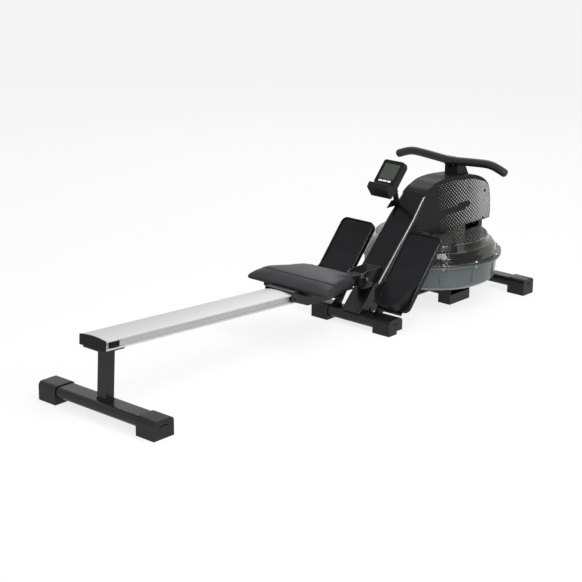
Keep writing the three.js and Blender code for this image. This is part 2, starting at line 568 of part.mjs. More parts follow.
function addSeat() {
  // The cushion flares out towards its base and has a crowned top.
  const top = cushionBottom + seat.thickness;
  const levels = [{ grow: seat.flare, rearGrow: seat.rearFlare, z: cushionBottom },
    { grow: 0, rearGrow: 0, z: top - seat.crown }];
  seatCrownShares.forEach(([inShare, upShare]) => levels.push({ grow: -inShare * seat.frontWidth / 3,
    rearGrow: -inShare * seat.frontWidth / 3, z: top - seat.crown * (1 - upShare) }));
  addPiece('seat_cushion', stackedRings(levels), blackVinyl, railGroup);

  // A tray carries the cushion.
  const tray = stackedRings([seatBase.inset, seatBase.inset / 4].map((inset, i) => ({
    grow: seat.flare - inset, rearGrow: seat.rearFlare - inset, z: trayBottom + i * seatBase.height })));
  addPiece('seat_base', tray, glossBlackPlastic, railGroup);

  // The carriage is a channel over the rail; its sides carry the roller axles.
  const inner = railSide + carriage.sideGap;
  const outer = inner + carriage.sideThickness;
  const sideTop = groove.top - overrun;
  const lowerEdge = carriageEdgeShares.map(([along, down]) => [carriageRear + along * carriage.length,
    sideTop - down * carriage.drop]);
  const sidePoints = [[carriageRear, carriageTop], ...lowerEdge, [carriageFront, carriageTop]];
  const sides = bothSides.map(([, sign]) =>
    sideOutline(sidePoints, carriage.sideThickness, sign * (inner + outer) / 2));
  const roof = block(carriageRear, carriageFront, -outer, outer, carriageTop - carriage.roofThickness, carriageTop);
  const middle = (groove.top + groove.bottom) / 2;
  const axleEnd = railSide - roller.width;
  // The front rollers meet the knuckle's shoulder when the seat is fully forward.
  const rollerPlaces = [['rear', carriageRear + roller.inset], ['front', rail.length - roller.radius]];
  const axles = bothSides.flatMap(([, sign]) => rollerPlaces.map(([, u]) => {
    const [y0, y1] = [sign * (axleEnd + roller.runningGap), sign * (inner + carriage.sideThickness / 2)]
      .sort((a, b) => a - b);
    return crossCylinder(roller.axleRadius, y0, y1, u, middle, turnSteps / 2);
  }));
  addPiece('seat_carriage', join(...sides, roof, ...axles), satinBlackPaint, railGroup);
  bothSides.forEach(([side, sign]) => {
    rollerPlaces.forEach(([end, u]) => {
      const [y0, y1] = [sign * (railSide - roller.width), sign * (railSide + gap)].sort((a, b) => a - b);
      const wheel = cut(crossCylinder(roller.radius, y0, y1, u, middle),
        crossCylinder(roller.axleRadius + roller.runningGap, y0 - overrun, y1 + overrun, u, middle, turnSteps / 2));
      addPiece(`seat_roller_${end}_${side}`, wheel, greyNylon, railGroup);
    });
  });
}

// Main frame

function columnSlice(rearDepth, frontDepth, z0, z1) {
  return [[columnX(z0, rearDepth), z0], [columnX(z0, frontDepth), z0],
    [columnX(z1, frontDepth), z1], [columnX(z1, rearDepth), z1]];
}

function addMainFrame() {
  const tube = sideOutline(columnSlice(columnRear, columnFront, columnBase, bridgeTop), column.width);
  const tubeHollow = sideOutline(columnSlice(columnRear + column.wall, columnFront - column.wall,
    columnBase - overrun, bridgeTop + overrun), column.width - 2 * column.wall);
  addPiece('column_tube', cut(tube, tubeHollow), satinBlackPaint);

  // The beam runs between the middle and front feet, with a cross member under the tank.
  const beamRear = columnX(baseBeam.top, columnFront) + gap;
  const beamFront = footX.front - footTubeDepth(frontFoot) / 2 - gap;
  const rise = baseBeam.top - baseBeam.bottom;
  const beam = alongX(roundedShape(baseBeam.width, rise, footTube.round), beamFront - beamRear, beamRear);
  const beamHollow = alongX(roundedShape(baseBeam.width - 2 * baseBeam.wall, rise - 2 * baseBeam.wall,
    footTube.round - baseBeam.wall), beamFront - beamRear + 2 * overrun, beamRear - overrun);
  const beamMiddle = (baseBeam.top + baseBeam.bottom) / 2;
  const supportHalf = tankSupport.width / 2;
  const supportTop = tank.bottomHeight - gap;
  const [supportRear, supportFront] = [tankX - tankSupport.behind, tankX + tankSupport.ahead];
  const cross = block(supportRear, supportFront, -supportHalf, supportHalf, baseBeam.bottom, supportTop);
  const crossHollow = block(supportRear + baseBeam.wall, supportFront - baseBeam.wall,
    -supportHalf - overrun, supportHalf + overrun, baseBeam.bottom + baseBeam.wall, supportTop - baseBeam.wall);
  const pads = bothSides.map(([, sign]) => {
    const [y0, y1] = [sign * (supportHalf - tankSupport.padLength), sign * supportHalf].sort((a, b) => a - b);
    return block(supportRear, supportFront, y0, y1, 0, baseBeam.bottom + baseBeam.wall / 2);
  });
  const beamTube = asSolid(beam).translate([0, 0, beamMiddle]);
  const beamBore = asSolid(beamHollow).translate([0, 0, beamMiddle]);
  addPiece('base_beam', join(cut(join(beamTube, cross), crossHollow, beamBore), ...pads), satinBlackPaint);

  const postRear = uprightX - upright.depth / 2;
  const postFront = uprightX + upright.depth / 2;
  const postBase = footTubeTop(frontFoot) + gap;
  const post = block(postRear, postFront, -upright.width / 2, upright.width / 2, postBase, bridgeTop);
  const postHollow = block(postRear + upright.wall, postFront - upright.wall, upright.wall - upright.width / 2,
    upright.width / 2 - upright.wall, postBase - overrun, bridgeTop + overrun);
  addPiece('front_upright', cut(post, postHollow), satinBlackPaint);

  addPiece('mid_foot_tube', join(footTubeSolid(midFoot, footX.mid), ...pedalBracketSolids()), satinBlackPaint);
  addPiece('front_foot_tube', footTubeSolid(frontFoot, footX.front), satinBlackPaint);
  addFootCaps('mid', midFoot, footX.mid);
  addFootCaps('front', frontFoot, footX.front);
}

function addBridge() {
  const half = bridge.width / 2;
  const inner = half - bridge.wall;
  const bridgeFront = uprightX - upright.depth / 2 - gap;
  const start = columnFront + gap;
  const side = [[columnX(bridgeLow, start), bridgeLow], [lowerPulley.x - pulley.flangeRadius, bridgeLow],
    [lowerPulley.x - pulley.flangeRadius, lowerPulley.z - pulley.radius],
    [lowerPulley.x + pulley.flangeRadius, lowerPulley.z - pulley.radius],
    [lowerPulley.x + pulley.flangeRadius, bridgeLow], [bridgeFront, bridgeLow], [bridgeFront, bridgeTop],
    [columnX(bridgeTop, start), bridgeTop]];
  const sides = bothSides.map(([, sign]) => sideOutline(side, bridge.wall, sign * (half + inner) / 2));
  const web = sideOutline([[columnX(bridgeTop - bridge.wall, start), bridgeTop - bridge.wall],
    [bridgeFront, bridgeTop - bridge.wall], [bridgeFront, bridgeTop], [columnX(bridgeTop, start), bridgeTop]],
  bridge.width);
  const bearingSeat = uprightCylinder(upperBearing.radius + gap, bridgeTop - bridge.wall - overrun,
    bridgeTop + overrun, tankX);
  const slotHalf = pulley.width / 2 + gap;
  const slotRear = upperPulley.x - pulley.flangeRadius;
  const slotFront = upperPulley.x + pulley.flangeRadius + belt.thickness;
  const beltSlot = block(slotRear, slotFront, -slotHalf, slotHalf, bridgeTop - bridge.wall - overrun,
    bridgeTop + overrun);
  const axle = crossCylinder(pulley.axleRadius, -half + bridge.wall / 2, half - bridge.wall / 2,
    lowerPulley.x, lowerPulley.z, turnSteps / 2);
  const guideRadius = returnCord.guideRadius - returnCord.diameter / 2 - returnCord.guideClearance;
  const guide = uprightCylinder(guideRadius, cordZ - returnCord.diameter, bridgeTop - bridge.wall / 2,
    cordGuideX, returnCord.offset);
  const anchor = block(cordAnchorX, cordAnchorX + returnCord.anchorThickness, inner + bridge.wall / 2,
    cordReturnY + returnCord.diameter, cordZ - returnCord.diameter, bridgeLow + bridge.wall);
  addPiece('bridge_channel', join(cut(join(...sides, web), bearingSeat, beltSlot), axle, guide, anchor),
    satinBlackPaint);
}

// Tank and drive

// Half widths of the tank's profile, from the clamp flange inwards.
const rimRadius = tank.flangeRadius - tank.rimInset;
const domeRadius = tank.flangeRadius - tank.domeInset;
const bowlRadius = tank.flangeRadius - tank.bowlInset;
const floorRadius = tank.flangeRadius - tank.floorInset;
const shoulderRadius = tank.flangeRadius - tank.shoulderInset;
const topRadius = tank.flangeRadius - tank.topInset;

function addTank() {
  const w = tank.wall;
  const low = tankJoint - gap / 2;
  const bottom = tank.bottomHeight;
  const cupInner = lowerBearing.radius + gap;
  const cupOuter = cupInner + lowerBearing.cupWall;
  const cupTop = tankFloor + lowerBearing.height;
  const bowl = turned([[0, bottom], [floorRadius, bottom], [bowlRadius, bottom + tank.floorRise],
    [rimRadius, low - tank.flangeThickness], [tank.flangeRadius, low - tank.flangeThickness],
    [tank.flangeRadius, low], [rimRadius - w, low], [bowlRadius - w, bottom + tank.floorRise],
    [floorRadius - w, tankFloor], [cupOuter, tankFloor], [cupOuter, cupTop], [cupInner, cupTop],
    [cupInner, tankFloor], [0, tankFloor]], tankX, tankSteps);
  const ribs = [];
  for (let i = 0; i < tank.ribs; i += 1) {
    const rib = block(bowlRadius - w / 2, rimRadius + tank.ribDepth, -tank.ribWidth / 2, tank.ribWidth / 2,
      bottom + tank.ribRise, low - tank.flangeThickness / 2);
    ribs.push(asSolid(asGeometry(rib).rotateZ(2 * Math.PI * (i + 0.5) / tank.ribs).translate(tankX, 0, 0)));
  }
  addPiece('tank_bowl', join(bowl, ...ribs), clearSmoke);

  const high = tankJoint + gap / 2;
  const flangeTop = high + tank.flangeThickness;
  const riserZ = tankJoint + tank.riserHeight;
  const shoulderZ = tankJoint + tank.shoulderHeight;
  const bossTop = tankTop + tank.bossHeight;
  const hole = shaftSeal.radius + gap;
  const dome = turned([[rimRadius - w, high], [tank.flangeRadius, high], [tank.flangeRadius, flangeTop],
    [domeRadius, flangeTop], [domeRadius - w, riserZ], [shoulderRadius, shoulderZ - w],
    [topRadius + w, shoulderZ], [topRadius, tankTop - w], [topRadius - w, tankTop], [tank.bossRadius, tankTop],
    [tank.bossRadius - w / 2, bossTop], [hole, bossTop], [hole, tankTop - w], [topRadius - 2 * w, tankTop - w],
    [topRadius - w / 2, shoulderZ - w], [shoulderRadius - w, shoulderZ - 2 * w],
    [domeRadius - 5 * w / 2, riserZ - w], [domeRadius - 3 * w / 2, flangeTop]], tankX, tankSteps);
  const plugX = tankX - fillPlug.behind;
  const plugY = fillPlug.side;
  const fillHole = uprightCylinder(fillPlug.radius + gap, tankTop - overrun - w, tankTop + overrun, plugX, plugY);
  addPiece('tank_dome', cut(dome, fillHole), clearSmoke);
  const headZ = tankTop + gap;
  const plug = join(uprightCylinder(fillPlug.radius, tankTop - fillPlug.depth, headZ + w / 2, plugX, plugY),
    uprightCylinder(fillPlug.headRadius, headZ, headZ + fillPlug.headHeight, plugX, plugY));
  addPiece('fill_plug', plug, blackRubber);
}

function addDrive() {
  const shaftTop = bridgeTop + upperBearing.flangeHeight;
  const running = gap / 2;
  const shaftLow = tankFloor + shaft.endFloat;
  const bearingTop = tankFloor + lowerBearing.height;
  addPiece('lower_bearing', turned([[0, tankFloor + gap], [lowerBearing.radius, tankFloor + gap],
    [lowerBearing.radius, bearingTop], [shaft.radius + running, bearingTop],
    [shaft.radius + running, shaftLow - gap], [0, shaftLow - gap]], tankX), greyNylon);
  const seatZ = bridgeTop - bridge.wall;
  addPiece('upper_bearing', turned([[shaft.radius + running, seatZ + bridge.wall / 2 - upperBearing.height],
    [upperBearing.radius, seatZ + bridge.wall / 2 - upperBearing.height], [upperBearing.radius, bridgeTop + gap],
    [upperBearing.flangeRadius, bridgeTop + gap],
    [upperBearing.flangeRadius, bridgeTop + gap + upperBearing.flangeHeight],
    [shaft.radius + running, bridgeTop + gap + upperBearing.flangeHeight]], tankX), zincSteel);
  const sealTop = tankTop + tank.bossHeight;
  addPiece('shaft_seal', turned([[shaft.radius + running, sealTop - shaftSeal.height],
    [shaftSeal.radius, sealTop - shaftSeal.height], [shaftSeal.radius, sealTop], [shaft.radius + running, sealTop]],
  tankX), blackRubber);

  // Impeller: straight paddles on a hub that the shaft passes through.
  const bladeLow = bearingTop + impeller.clearance;
  const bladeHigh = bladeLow + impeller.bladeHeight;
  const hub = uprightCylinder(impeller.hubRadius, bladeLow, bladeHigh, tankX);
  const blades = [];
  for (let i = 0; i < impeller.blades; i += 1) {
    const blade = block(impeller.hubRadius / 2, impeller.bladeRadius, -impeller.bladeThickness / 2,
      impeller.bladeThickness / 2, bladeLow, bladeHigh);
    blades.push(asSolid(asGeometry(blade).rotateZ(2 * Math.PI * i / impeller.blades).translate(tankX, 0, 0)));
  }
  const shaftBore = uprightCylinder(shaft.radius + gap, bladeLow - overrun, bladeHigh + overrun, tankX);
  addPiece('impeller', cut(join(hub, ...blades), shaftBore), blackPlastic);
  addPiece('impeller_shaft', uprightCylinder(shaft.radius, shaftLow, shaftTop, tankX), zincSteel);

  // Strap drum with the return cord's spool on top, over a one-way clutch on the shaft.
  const drumHole = clutch.radius + gap;
  const spoolLow = drumTop + drum.cordHeight;
  const spoolTop = spoolLow + drum.flange;
  const spoolRadius = drum.flangeRadius - drum.cordRadius / 2;
  const d = drum;
  addPiece('strap_drum', turned([[drumHole, drumBase], [d.flangeRadius, drumBase],
    [d.flangeRadius, drumBase + d.flange], [d.radius, drumBase + d.flange], [d.radius, drumTop - d.flange],
    [d.flangeRadius, drumTop - d.flange],
    [d.flangeRadius, drumTop], [d.cordRadius, drumTop], [d.cordRadius, spoolLow], [spoolRadius, spoolLow],
    [spoolRadius, spoolTop], [drumHole, spoolTop]], tankX), blackPlastic);
  const clutchHole = shaft.radius + clutch.runningGap;
  addPiece('one_way_clutch', turned([[clutchHole, drumBase + d.flange], [clutch.radius, drumBase + d.flange],
    [clutch.radius, spoolLow], [clutchHole, spoolLow]], tankX), zincSteel);

  [['upper', upperPulley], ['lower', lowerPulley]].forEach(([name, at]) => {
    const half = pulley.width / 2;
    const sheave = join(crossCylinder(pulley.radius, -half, half, at.x, at.z),
      crossCylinder(pulley.flangeRadius, -half, -half + pulley.flange, at.x, at.z),
      crossCylinder(pulley.flangeRadius, half - pulley.flange, half, at.x, at.z));
    const bore = crossCylinder(pulley.axleRadius + pulley.runningGap, -half - overrun, half + overrun, at.x, at.z,
      turnSteps / 2);
    addPiece(`${name}_guide_pulley`, cut(sheave, bore), greyNylon);
  });
  addBelt();
  addReturnCord();
}

function addBelt() {
  const points = [];
  const acrossDirection = new THREE.Vector3(0, 1, 0);
  const stand = pulley.radius + gap;
  const push = (x, y, z, across, out) => points.push({ at: new THREE.Vector3(x, y, z), across, out });
  // From the handle's collar down to the upper pulley.
  const outStart = new THREE.Vector3(Math.cos(handle.pullAngle), 0, Math.sin(handle.pullAngle));
  push(handleAt.x + handle.collarRadius * belt.leadShare, 0, handleAt.z - handle.collarRadius - gap,
    acrossDirection, outStart);
  const aroundPulley = (centre, fromAngle, toAngle) => {
    for (let i = 0; i <= arcSteps; i += 1) {
      const angle = fromAngle + (toAngle - fromAngle) * i / arcSteps;
      const out = new THREE.Vector3(Math.cos(angle), 0, Math.sin(angle));
      push(centre.x + stand * out.x, 0, centre.z + stand * out.z, acrossDirection, out);
    }
  };
  aroundPulley(upperPulley, belt.wrapAngle, 0);
  aroundPulley(lowerPulley, 0, -Math.PI / 2);
  // A quarter twist brings the belt upright before it meets the drum's outer layer.
  const pitch = belt.thickness + gap;
  const outerLayer = drum.radius + gap + belt.wraps * pitch;
  const runStart = lowerPulley.x - pulley.flangeRadius;
  for (let i = 0; i <= belt.runSteps; i += 1) {
    const share = i / belt.runSteps;
    const turnShare = Math.min(1, share / belt.twistShare);
    const turn = turnShare * Math.PI / 2;
    push(runStart + share * (tankX - runStart), -turnShare * outerLayer, drumMiddle,
      new THREE.Vector3(0, Math.cos(turn), -Math.sin(turn)),
      new THREE.Vector3(0, -Math.sin(turn), -Math.cos(turn)));
  }
  const wrapSteps = belt.turnSteps * belt.wraps;
  for (let i = 1; i <= wrapSteps; i += 1) {
    const angle = -Math.PI / 2 - 2 * Math.PI * i / belt.turnSteps;
    const layer = outerLayer - pitch * i / belt.turnSteps;
    const out = new THREE.Vector3(Math.cos(angle), Math.sin(angle), 0);
    push(tankX + layer * out.x, layer * out.y, drumMiddle, new THREE.Vector3(0, 0, -1), out);
  }
  addPiece('pull_strap', strip(points, belt.width, belt.thickness), wovenBlack);
}

function addReturnCord() {
  const spoolSide = drum.cordRadius + returnCord.diameter / 2 + gap;
  const guide = { x: cordGuideX, y: returnCord.offset };
  const path = new THREE.CurvePath();
  const bend = [];
  for (let i = 0; i <= turnSteps / 2; i += 1) {
    const angle = -Math.PI / 2 - 2 * Math.PI * i / turnSteps;
    bend.push(new THREE.Vector3(guide.x + returnCord.guideRadius * Math.cos(angle),
      guide.y + returnCord.guideRadius * Math.sin(angle), cordZ));
  }
  const start = new THREE.Vector3(tankX, -spoolSide, cordZ);
  const end = new THREE.Vector3(cordAnchorX - gap, cordReturnY, cordZ);
  const points = [start, ...bend, end];
  for (let i = 0; i + 1 < points.length; i += 1) path.add(new THREE.LineCurve3(points[i], points[i + 1]));
  addPiece('return_cord', roundBar(path, returnCord.diameter / 2, cordSteps, cordSides), wovenBlack);
}

// Covers

const hoodHalfWidth = (z) => {
  const up = (z - hoodLow) / hood.height;
  return hood.lowHalfWidth + up * (hood.highHalfWidth - hood.lowHalfWidth);
};

// Gives every corner of a solid the hood's own width at its height.
function taperToHood(solid, fullHalfWidth, inset) {
  const geometry = asGeometry(solid);
  const corners = geometry.getAttribute('position');
  for (let i = 0; i < corners.count; i += 1) {
    const share = corners.getY(i) / fullHalfWidth;
    corners.setY(i, share * (hoodHalfWidth(corners.getZ(i)) - inset));
  }
  return asSolid(geometry);
}

// A plate parallel to the hood's slanting side, from depth outside its plane, outwards by thickness.
function hoodSidePlate(outline, thickness, depth, sign) {
  const geometry = asGeometry(sideOutline(outline, thickness, depth + thickness / 2));
  const corners = geometry.getAttribute('position');
  for (let i = 0; i < corners.count; i += 1) {
    corners.setY(i, sign * (hoodHalfWidth(corners.getZ(i)) + corners.getY(i)));
  }
  return asSolid(geometry);
}

// The line moved to its left by a distance; a closed outline runs on from its last point to its first.
function insetLine(points, distance, closed = false) {
  const count = points.length;
  return points.map((here, i) => {
    const at = new THREE.Vector2(...here);
    const before = new THREE.Vector2(...points[closed ? (i + count - 1) % count : Math.max(i - 1, 0)]);
    const after = new THREE.Vector2(...points[closed ? (i + 1) % count : Math.min(i + 1, count - 1)]);
    const arriving = (i > 0 || closed ? at.clone().sub(before) : after.clone().sub(at)).normalize();
    const leaving = (i + 1 < count || closed ? after.clone().sub(at) : at.clone().sub(before)).normalize();
    const normal = new THREE.Vector2(-arriving.y - leaving.y, arriving.x + leaving.x).normalize();
    const stretch = distance / normal.dot(new THREE.Vector2(-leaving.y, leaving.x));
    return [at.x + normal.x * stretch, at.y + normal.y * stretch];
  });
}

// All that lies between the two side planes of the hood, moved inwards by inset.
function betweenHoodSides(inset) {
  const corners = [[-1, hoodLow], [1, hoodLow], [1, hoodHigh], [-1, hoodHigh]];
  return asSolid(alongX(outlineShape(corners.map(([side, z]) => [side * (hoodHalfWidth(z) - inset), z])),
    footX.front - footX.mid, footX.mid));
}

function addCovers() {
  // Column cover: a channel that wraps the column's rear face and sides.
  const width = columnCover.width;
  const [coverLow, coverTop] = [pivot.z - columnCover.below, hoodLow + columnCover.rise];
  const below = block(0, footX.front, -width, width, 0, hoodLow + gap);
  const outer = sideOutline(columnSlice(0, columnCover.sideDepth, coverLow, coverTop), width)
    .intersect(join(betweenHoodSides(0), below));
  const inner = sideOutline(columnSlice(columnCover.wall, columnCover.sideDepth + overrun,
    coverLow - overrun, coverTop + overrun), width - 2 * columnCover.wall)
    .intersect(join(betweenHoodSides(columnCover.wall), below));
  const socketWidth = knuckle.bladeWidth + 2 * (socket.cheekClearance + socket.cheekThickness + gap);
  const mouth = block(0, tankX, -socketWidth / 2, socketWidth / 2, 0, pivot.z + socket.above + gap);
  const hoodClear = sideOutline(insetLine(hoodOutline, -gap, true), width + overrun);
  const roofClear = sideOutline([...insetLine(hoodRoofOutline, -gap),
    ...insetLine(hoodRoofOutline, hood.wall + gap).reverse()], width + overrun);
  addPiece('column_cover', cut(outer, inner, mouth, hoodClear, roofClear), blackPlastic);

  // Hood roof: a strip along the top of the outline.
  const roofInner = insetLine(hoodRoofOutline, hood.wall).reverse();
  const full = hood.lowHalfWidth;
  const roof = taperToHood(sideOutline([...hoodRoofOutline, ...roofInner], 2 * full), full, hood.sideWall + gap);
  const slotHalf = cradle.slotWidth / 2;
  const cradleRear = pulleyX - cradle.behind;
  const cradleTopFront = pulleyX + cradle.topAhead;
  const cradleBaseFront = pulleyX + cradle.baseAhead;
  const beltOpening = block(cradleRear + cradle.wall, cradleTopFront, -slotHalf, slotHalf, bridgeTop, cradleTop);
  addPiece('hood_roof', cut(roof, beltOpening), blackPlastic);

  bothSides.forEach(([side, sign]) => {
    addPiece(`hood_side_${side}`, hoodSidePlate(hoodOutline, hood.sideWall, -hood.sideWall, sign),
      glossBlackPlastic);
  });

  // Handle cradle: a hollow block on the roof that holds the upper guide pulley.
  const roofUnder = hoodRoofOutline.filter(([x]) => x > cradleRear && x < cradleBaseFront).reverse();
  const housing = sideOutline([[cradleRear, hoodTop(cradleRear) + gap], ...roofUnder.map(([x, z]) => [x, z + gap]),
    [cradleBaseFront, hoodTop(cradleBaseFront) + gap], [cradleTopFront, cradleTop], [cradleRear, cradleTop]],
  cradle.width);
  const cavityRear = cradleRear + cradle.wall;
  const cavity = sideOutline([[cavityRear, bridgeTop], [cradleBaseFront - cradle.wall, bridgeTop],
    [cradleBaseFront - cradle.wall, hoodTop(pulleyX)], [cradleTopFront - cradle.wall, cradleTop - cradle.wall],
    [cavityRear, cradleTop - cradle.wall]], cradle.width - 2 * cradle.wall);
  const slot = block(cradleRear - overrun, upperPulley.x, -slotHalf, slotHalf,
    upperPulley.z + pulley.radius - belt.thickness, cradleTop + overrun);
  const bed = crossCylinder(handle.collarRadius + gap, -cradle.width, cradle.width, handleAt.x, handleAt.z,
    2 * turnSteps);
  const axleHalf = (cradle.width - cradle.wall) / 2;
  const axle = crossCylinder(pulley.axleRadius, -axleHalf, axleHalf, upperPulley.x, upperPulley.z, turnSteps / 2);
  addPiece('handle_cradle', join(cut(housing, cavity, slot, bed), axle), blackPlastic);
}

// Handle

function handleCurve() {
  const h = handle;
  const half = h.span / 2;
  const z = (y) => {
    const reach = Math.abs(y);
    if (reach <= h.bendSide) return handleAt.z + h.rise * reach / h.bendSide;
    return handleAt.z + h.rise - h.droop * (reach - h.bendSide) / (half - h.bendSide);
  };
  const right = [-half, -h.bendSide - h.bendRound, -h.bendSide, -h.bendSide + h.bendRound];
  const places = [...right, 0, ...right.map((y) => -y).reverse()];
  const points = places.map((y) => new THREE.Vector3(handleAt.x, y, z(y)));
  return new THREE.CatmullRomCurve3(points, false, 'centripetal');
}

function addHandle() {
  const curve = handleCurve();
  const core = roundBar(curve, handle.coreRadius, handleSteps, arcSteps);
  const collarHalf = handle.collarWidth / 2;
  const whole = roundBar(curve, handle.gripRadius, handleSteps, arcSteps);
  const coreClear = roundBar(curve, handle.coreRadius + gap, handleSteps, arcSteps);
  const between = (y0, y1) => block(handleAt.x - handle.span, handleAt.x + handle.span, y0, y1, 0,
    handleAt.z + handle.span);
  const coreEnd = handle.span / 2 - handle.endWall;
  const collar = crossCylinder(handle.collarRadius, -collarHalf, collarHalf, handleAt.x, handleAt.z, 2 * turnSteps);
  addPiece('handle_bar', join(core.intersect(between(-coreEnd, coreEnd)), collar), satinBlackPaint);
  const bore = coreClear.intersect(between(-coreEnd - gap, coreEnd + gap));
  bothSides.forEach(([name, sign]) => {
    const [y0, y1] = [sign * (collarHalf + gap), sign * handle.span].sort((a, b) => a - b);
    addPiece(`handle_grip_${name}`, cut(whole.intersect(between(y0, y1)), bore), foamGrip);
  });
}

// Display

function addDisplay() {
  const d = display;
  const down = new THREE.Vector2(-Math.cos(d.faceAngle), -Math.sin(d.faceAngle));
  const inward = new THREE.Vector2(-down.y, down.x);
  const faceAt = (along, depth) => [tilt.x + d.topAhead + down.x * along + inward.x * depth,
    tilt.z + d.topRise + down.y * along + inward.y * depth];
  const chamfer = d.depth / 3;
  const [lowX, lowZ] = faceAt(d.faceLength, 0);
  const lip = [lowX - ledge.lipReach, lowZ + ledge.lipRise];
  const body = sideOutline([faceAt(0, 0), [lowX, lowZ],
    [lip[0] + 2 * ledge.lipThickness, lip[1] - 2 * ledge.lipThickness], [lip[0] + ledge.lipThickness, lip[1]], lip,
    [lowX - ledge.noseReach, lowZ - ledge.noseDrop], [lowX - ledge.heelReach, lowZ - ledge.heelDrop],
    faceAt(d.faceLength + chamfer, d.depth), faceAt(chamfer, d.depth), faceAt(0, d.depth - chamfer)], d.width);
  const onFace = (down0, down1, depth0, depth1, y0, y1) => sideOutline([faceAt(down0, depth0),
    faceAt(down1, depth0), faceAt(down1, depth1), faceAt(down0, depth1)], y1 - y0, (y0 + y1) / 2);
  const screenHalf = d.screenWidth / 2;
  const screenSpace = onFace(d.screenTop - gap, d.screenTop + d.screenLength + gap, -overrun, d.screenDepth + gap,
    -screenHalf - gap, screenHalf + gap);
  const screen = onFace(d.screenTop, d.screenTop + d.screenLength, 0, d.screenDepth, -screenHalf, screenHalf);
  const buttonStarts = [-1, 0, 1].map((i) => i * (d.buttonWidth + d.buttonGap) - d.buttonWidth / 2);
  const slots = buttonStarts.map((y) => onFace(d.buttonTop - gap, d.buttonTop + d.buttonLength + gap, -overrun,
    d.buttonDepth + d.buttonTravel + gap, y - gap, y + d.buttonWidth + gap));
  const barrelHalf = displayArm.barrelWidth / 2 + gap;
  const earWidth = displayArm.thickness / 2;
  const ears = bothSides.map(([, sign]) => {
    const inner = barrelHalf;
    const middle = sign * (inner + earWidth / 2);
    const round = crossCylinder(d.tiltRadius, middle - earWidth / 2, middle + earWidth / 2, tilt.x, tilt.z);
    const root = sideOutline([[tilt.x + d.tiltRadius, tilt.z], [tilt.x - d.tiltRadius, tilt.z],
      faceAt(d.faceLength, d.depth / 2), faceAt(d.faceLength / 2, d.depth / 2)], earWidth, middle);
    return join(round, root);
  });
  const pinHalf = barrelHalf + earWidth / 2;
  const pin = crossCylinder(d.pinRadius, -pinHalf, pinHalf, tilt.x, tilt.z, turnSteps / 2);
  addPiece('console_case', join(cut(body, screenSpace, ...slots), ...ears, pin), blackPlastic);
  addPiece('console_screen', screen, screenGlass);
  buttonStarts.forEach((y, i) => {
    const button = onFace(d.buttonTop, d.buttonTop + d.buttonLength, -d.buttonProud, d.buttonDepth, y,
      y + d.buttonWidth);
    addPiece(`console_button_${i + 1}`, button, silverPlastic);
  });

  // Arm from the left side of the column cover, round behind its face, to the tilt pin.
  const a = displayArm;
  const barrelSolid = crossCylinder(d.tiltRadius - gap, -a.barrelWidth / 2, a.barrelWidth / 2, tilt.x, tilt.z);
  const pinHole = crossCylinder(d.pinRadius + pulley.runningGap, -a.barrelWidth, a.barrelWidth, tilt.x, tilt.z,
    turnSteps / 2);
  const foot = hoodSidePlate(columnSlice(a.footAhead, -a.footBehind, armFoot, armFootTop), a.footThickness, gap, 1);
  // The link runs straight from the barrel past the case's ears, then slants to the foot.
  const [linkLow, linkHigh] = [armMiddle - a.thickness / 2, armMiddle + a.thickness / 2];
  const half = d.tiltRadius / 2;
  const linkEnd = { x: columnX(armMiddle, -a.linkBehind), low: linkLow, high: linkHigh };
  const bendX = tilt.x + 2 * d.tiltRadius;
  const bendShare = (bendX - tilt.x) / (linkEnd.x - tilt.x);
  const bend = { low: tilt.z - half + bendShare * (linkEnd.low - tilt.z + half),
    high: tilt.z + half + bendShare * (linkEnd.high - tilt.z - half) };
  const straight = sideOutline([[tilt.x - half, tilt.z - half], [bendX, bend.low], [bendX, bend.high],
    [tilt.x + half, tilt.z + half]], a.barrelWidth);
  const slant = asGeometry(sideOutline([[bendX, bend.low], [linkEnd.x, linkEnd.low], [linkEnd.x, linkEnd.high],
    [bendX, bend.high]], a.barrelWidth));
  const shift = hoodHalfWidth(armMiddle) + gap + a.footThickness - a.barrelWidth / 2;
  const corners = slant.getAttribute('position');
  for (let i = 0; i < corners.count; i += 1) {
    corners.setY(i, corners.getY(i) + shift * (corners.getX(i) - bendX) / (linkEnd.x - bendX));
  }
  addPiece('console_arm', cut(join(foot, straight, asSolid(slant), barrelSolid), pinHole), blackPlastic);
}

// Foot plates

const pedalX = footX.mid - pedal.behind;

// Places a solid drawn with x up the plate, y across it and z towards the sole.
function ontoPedal(solid) {
  const geometry = asGeometry(solid);
  geometry.rotateY(-pedal.angle).translate(pedalX, 0, pedal.bottomHeight);
  return asSolid(geometry);
}

const plateShape = roundedShape(pedal.length, pedal.width, pedal.cornerRound);
const plateBlank = (top) => asSolid(extruded(plateShape, pedal.thickness)
  .translate(pedal.length / 2, pedal.innerSide + pedal.width / 2, top - pedal.thickness));

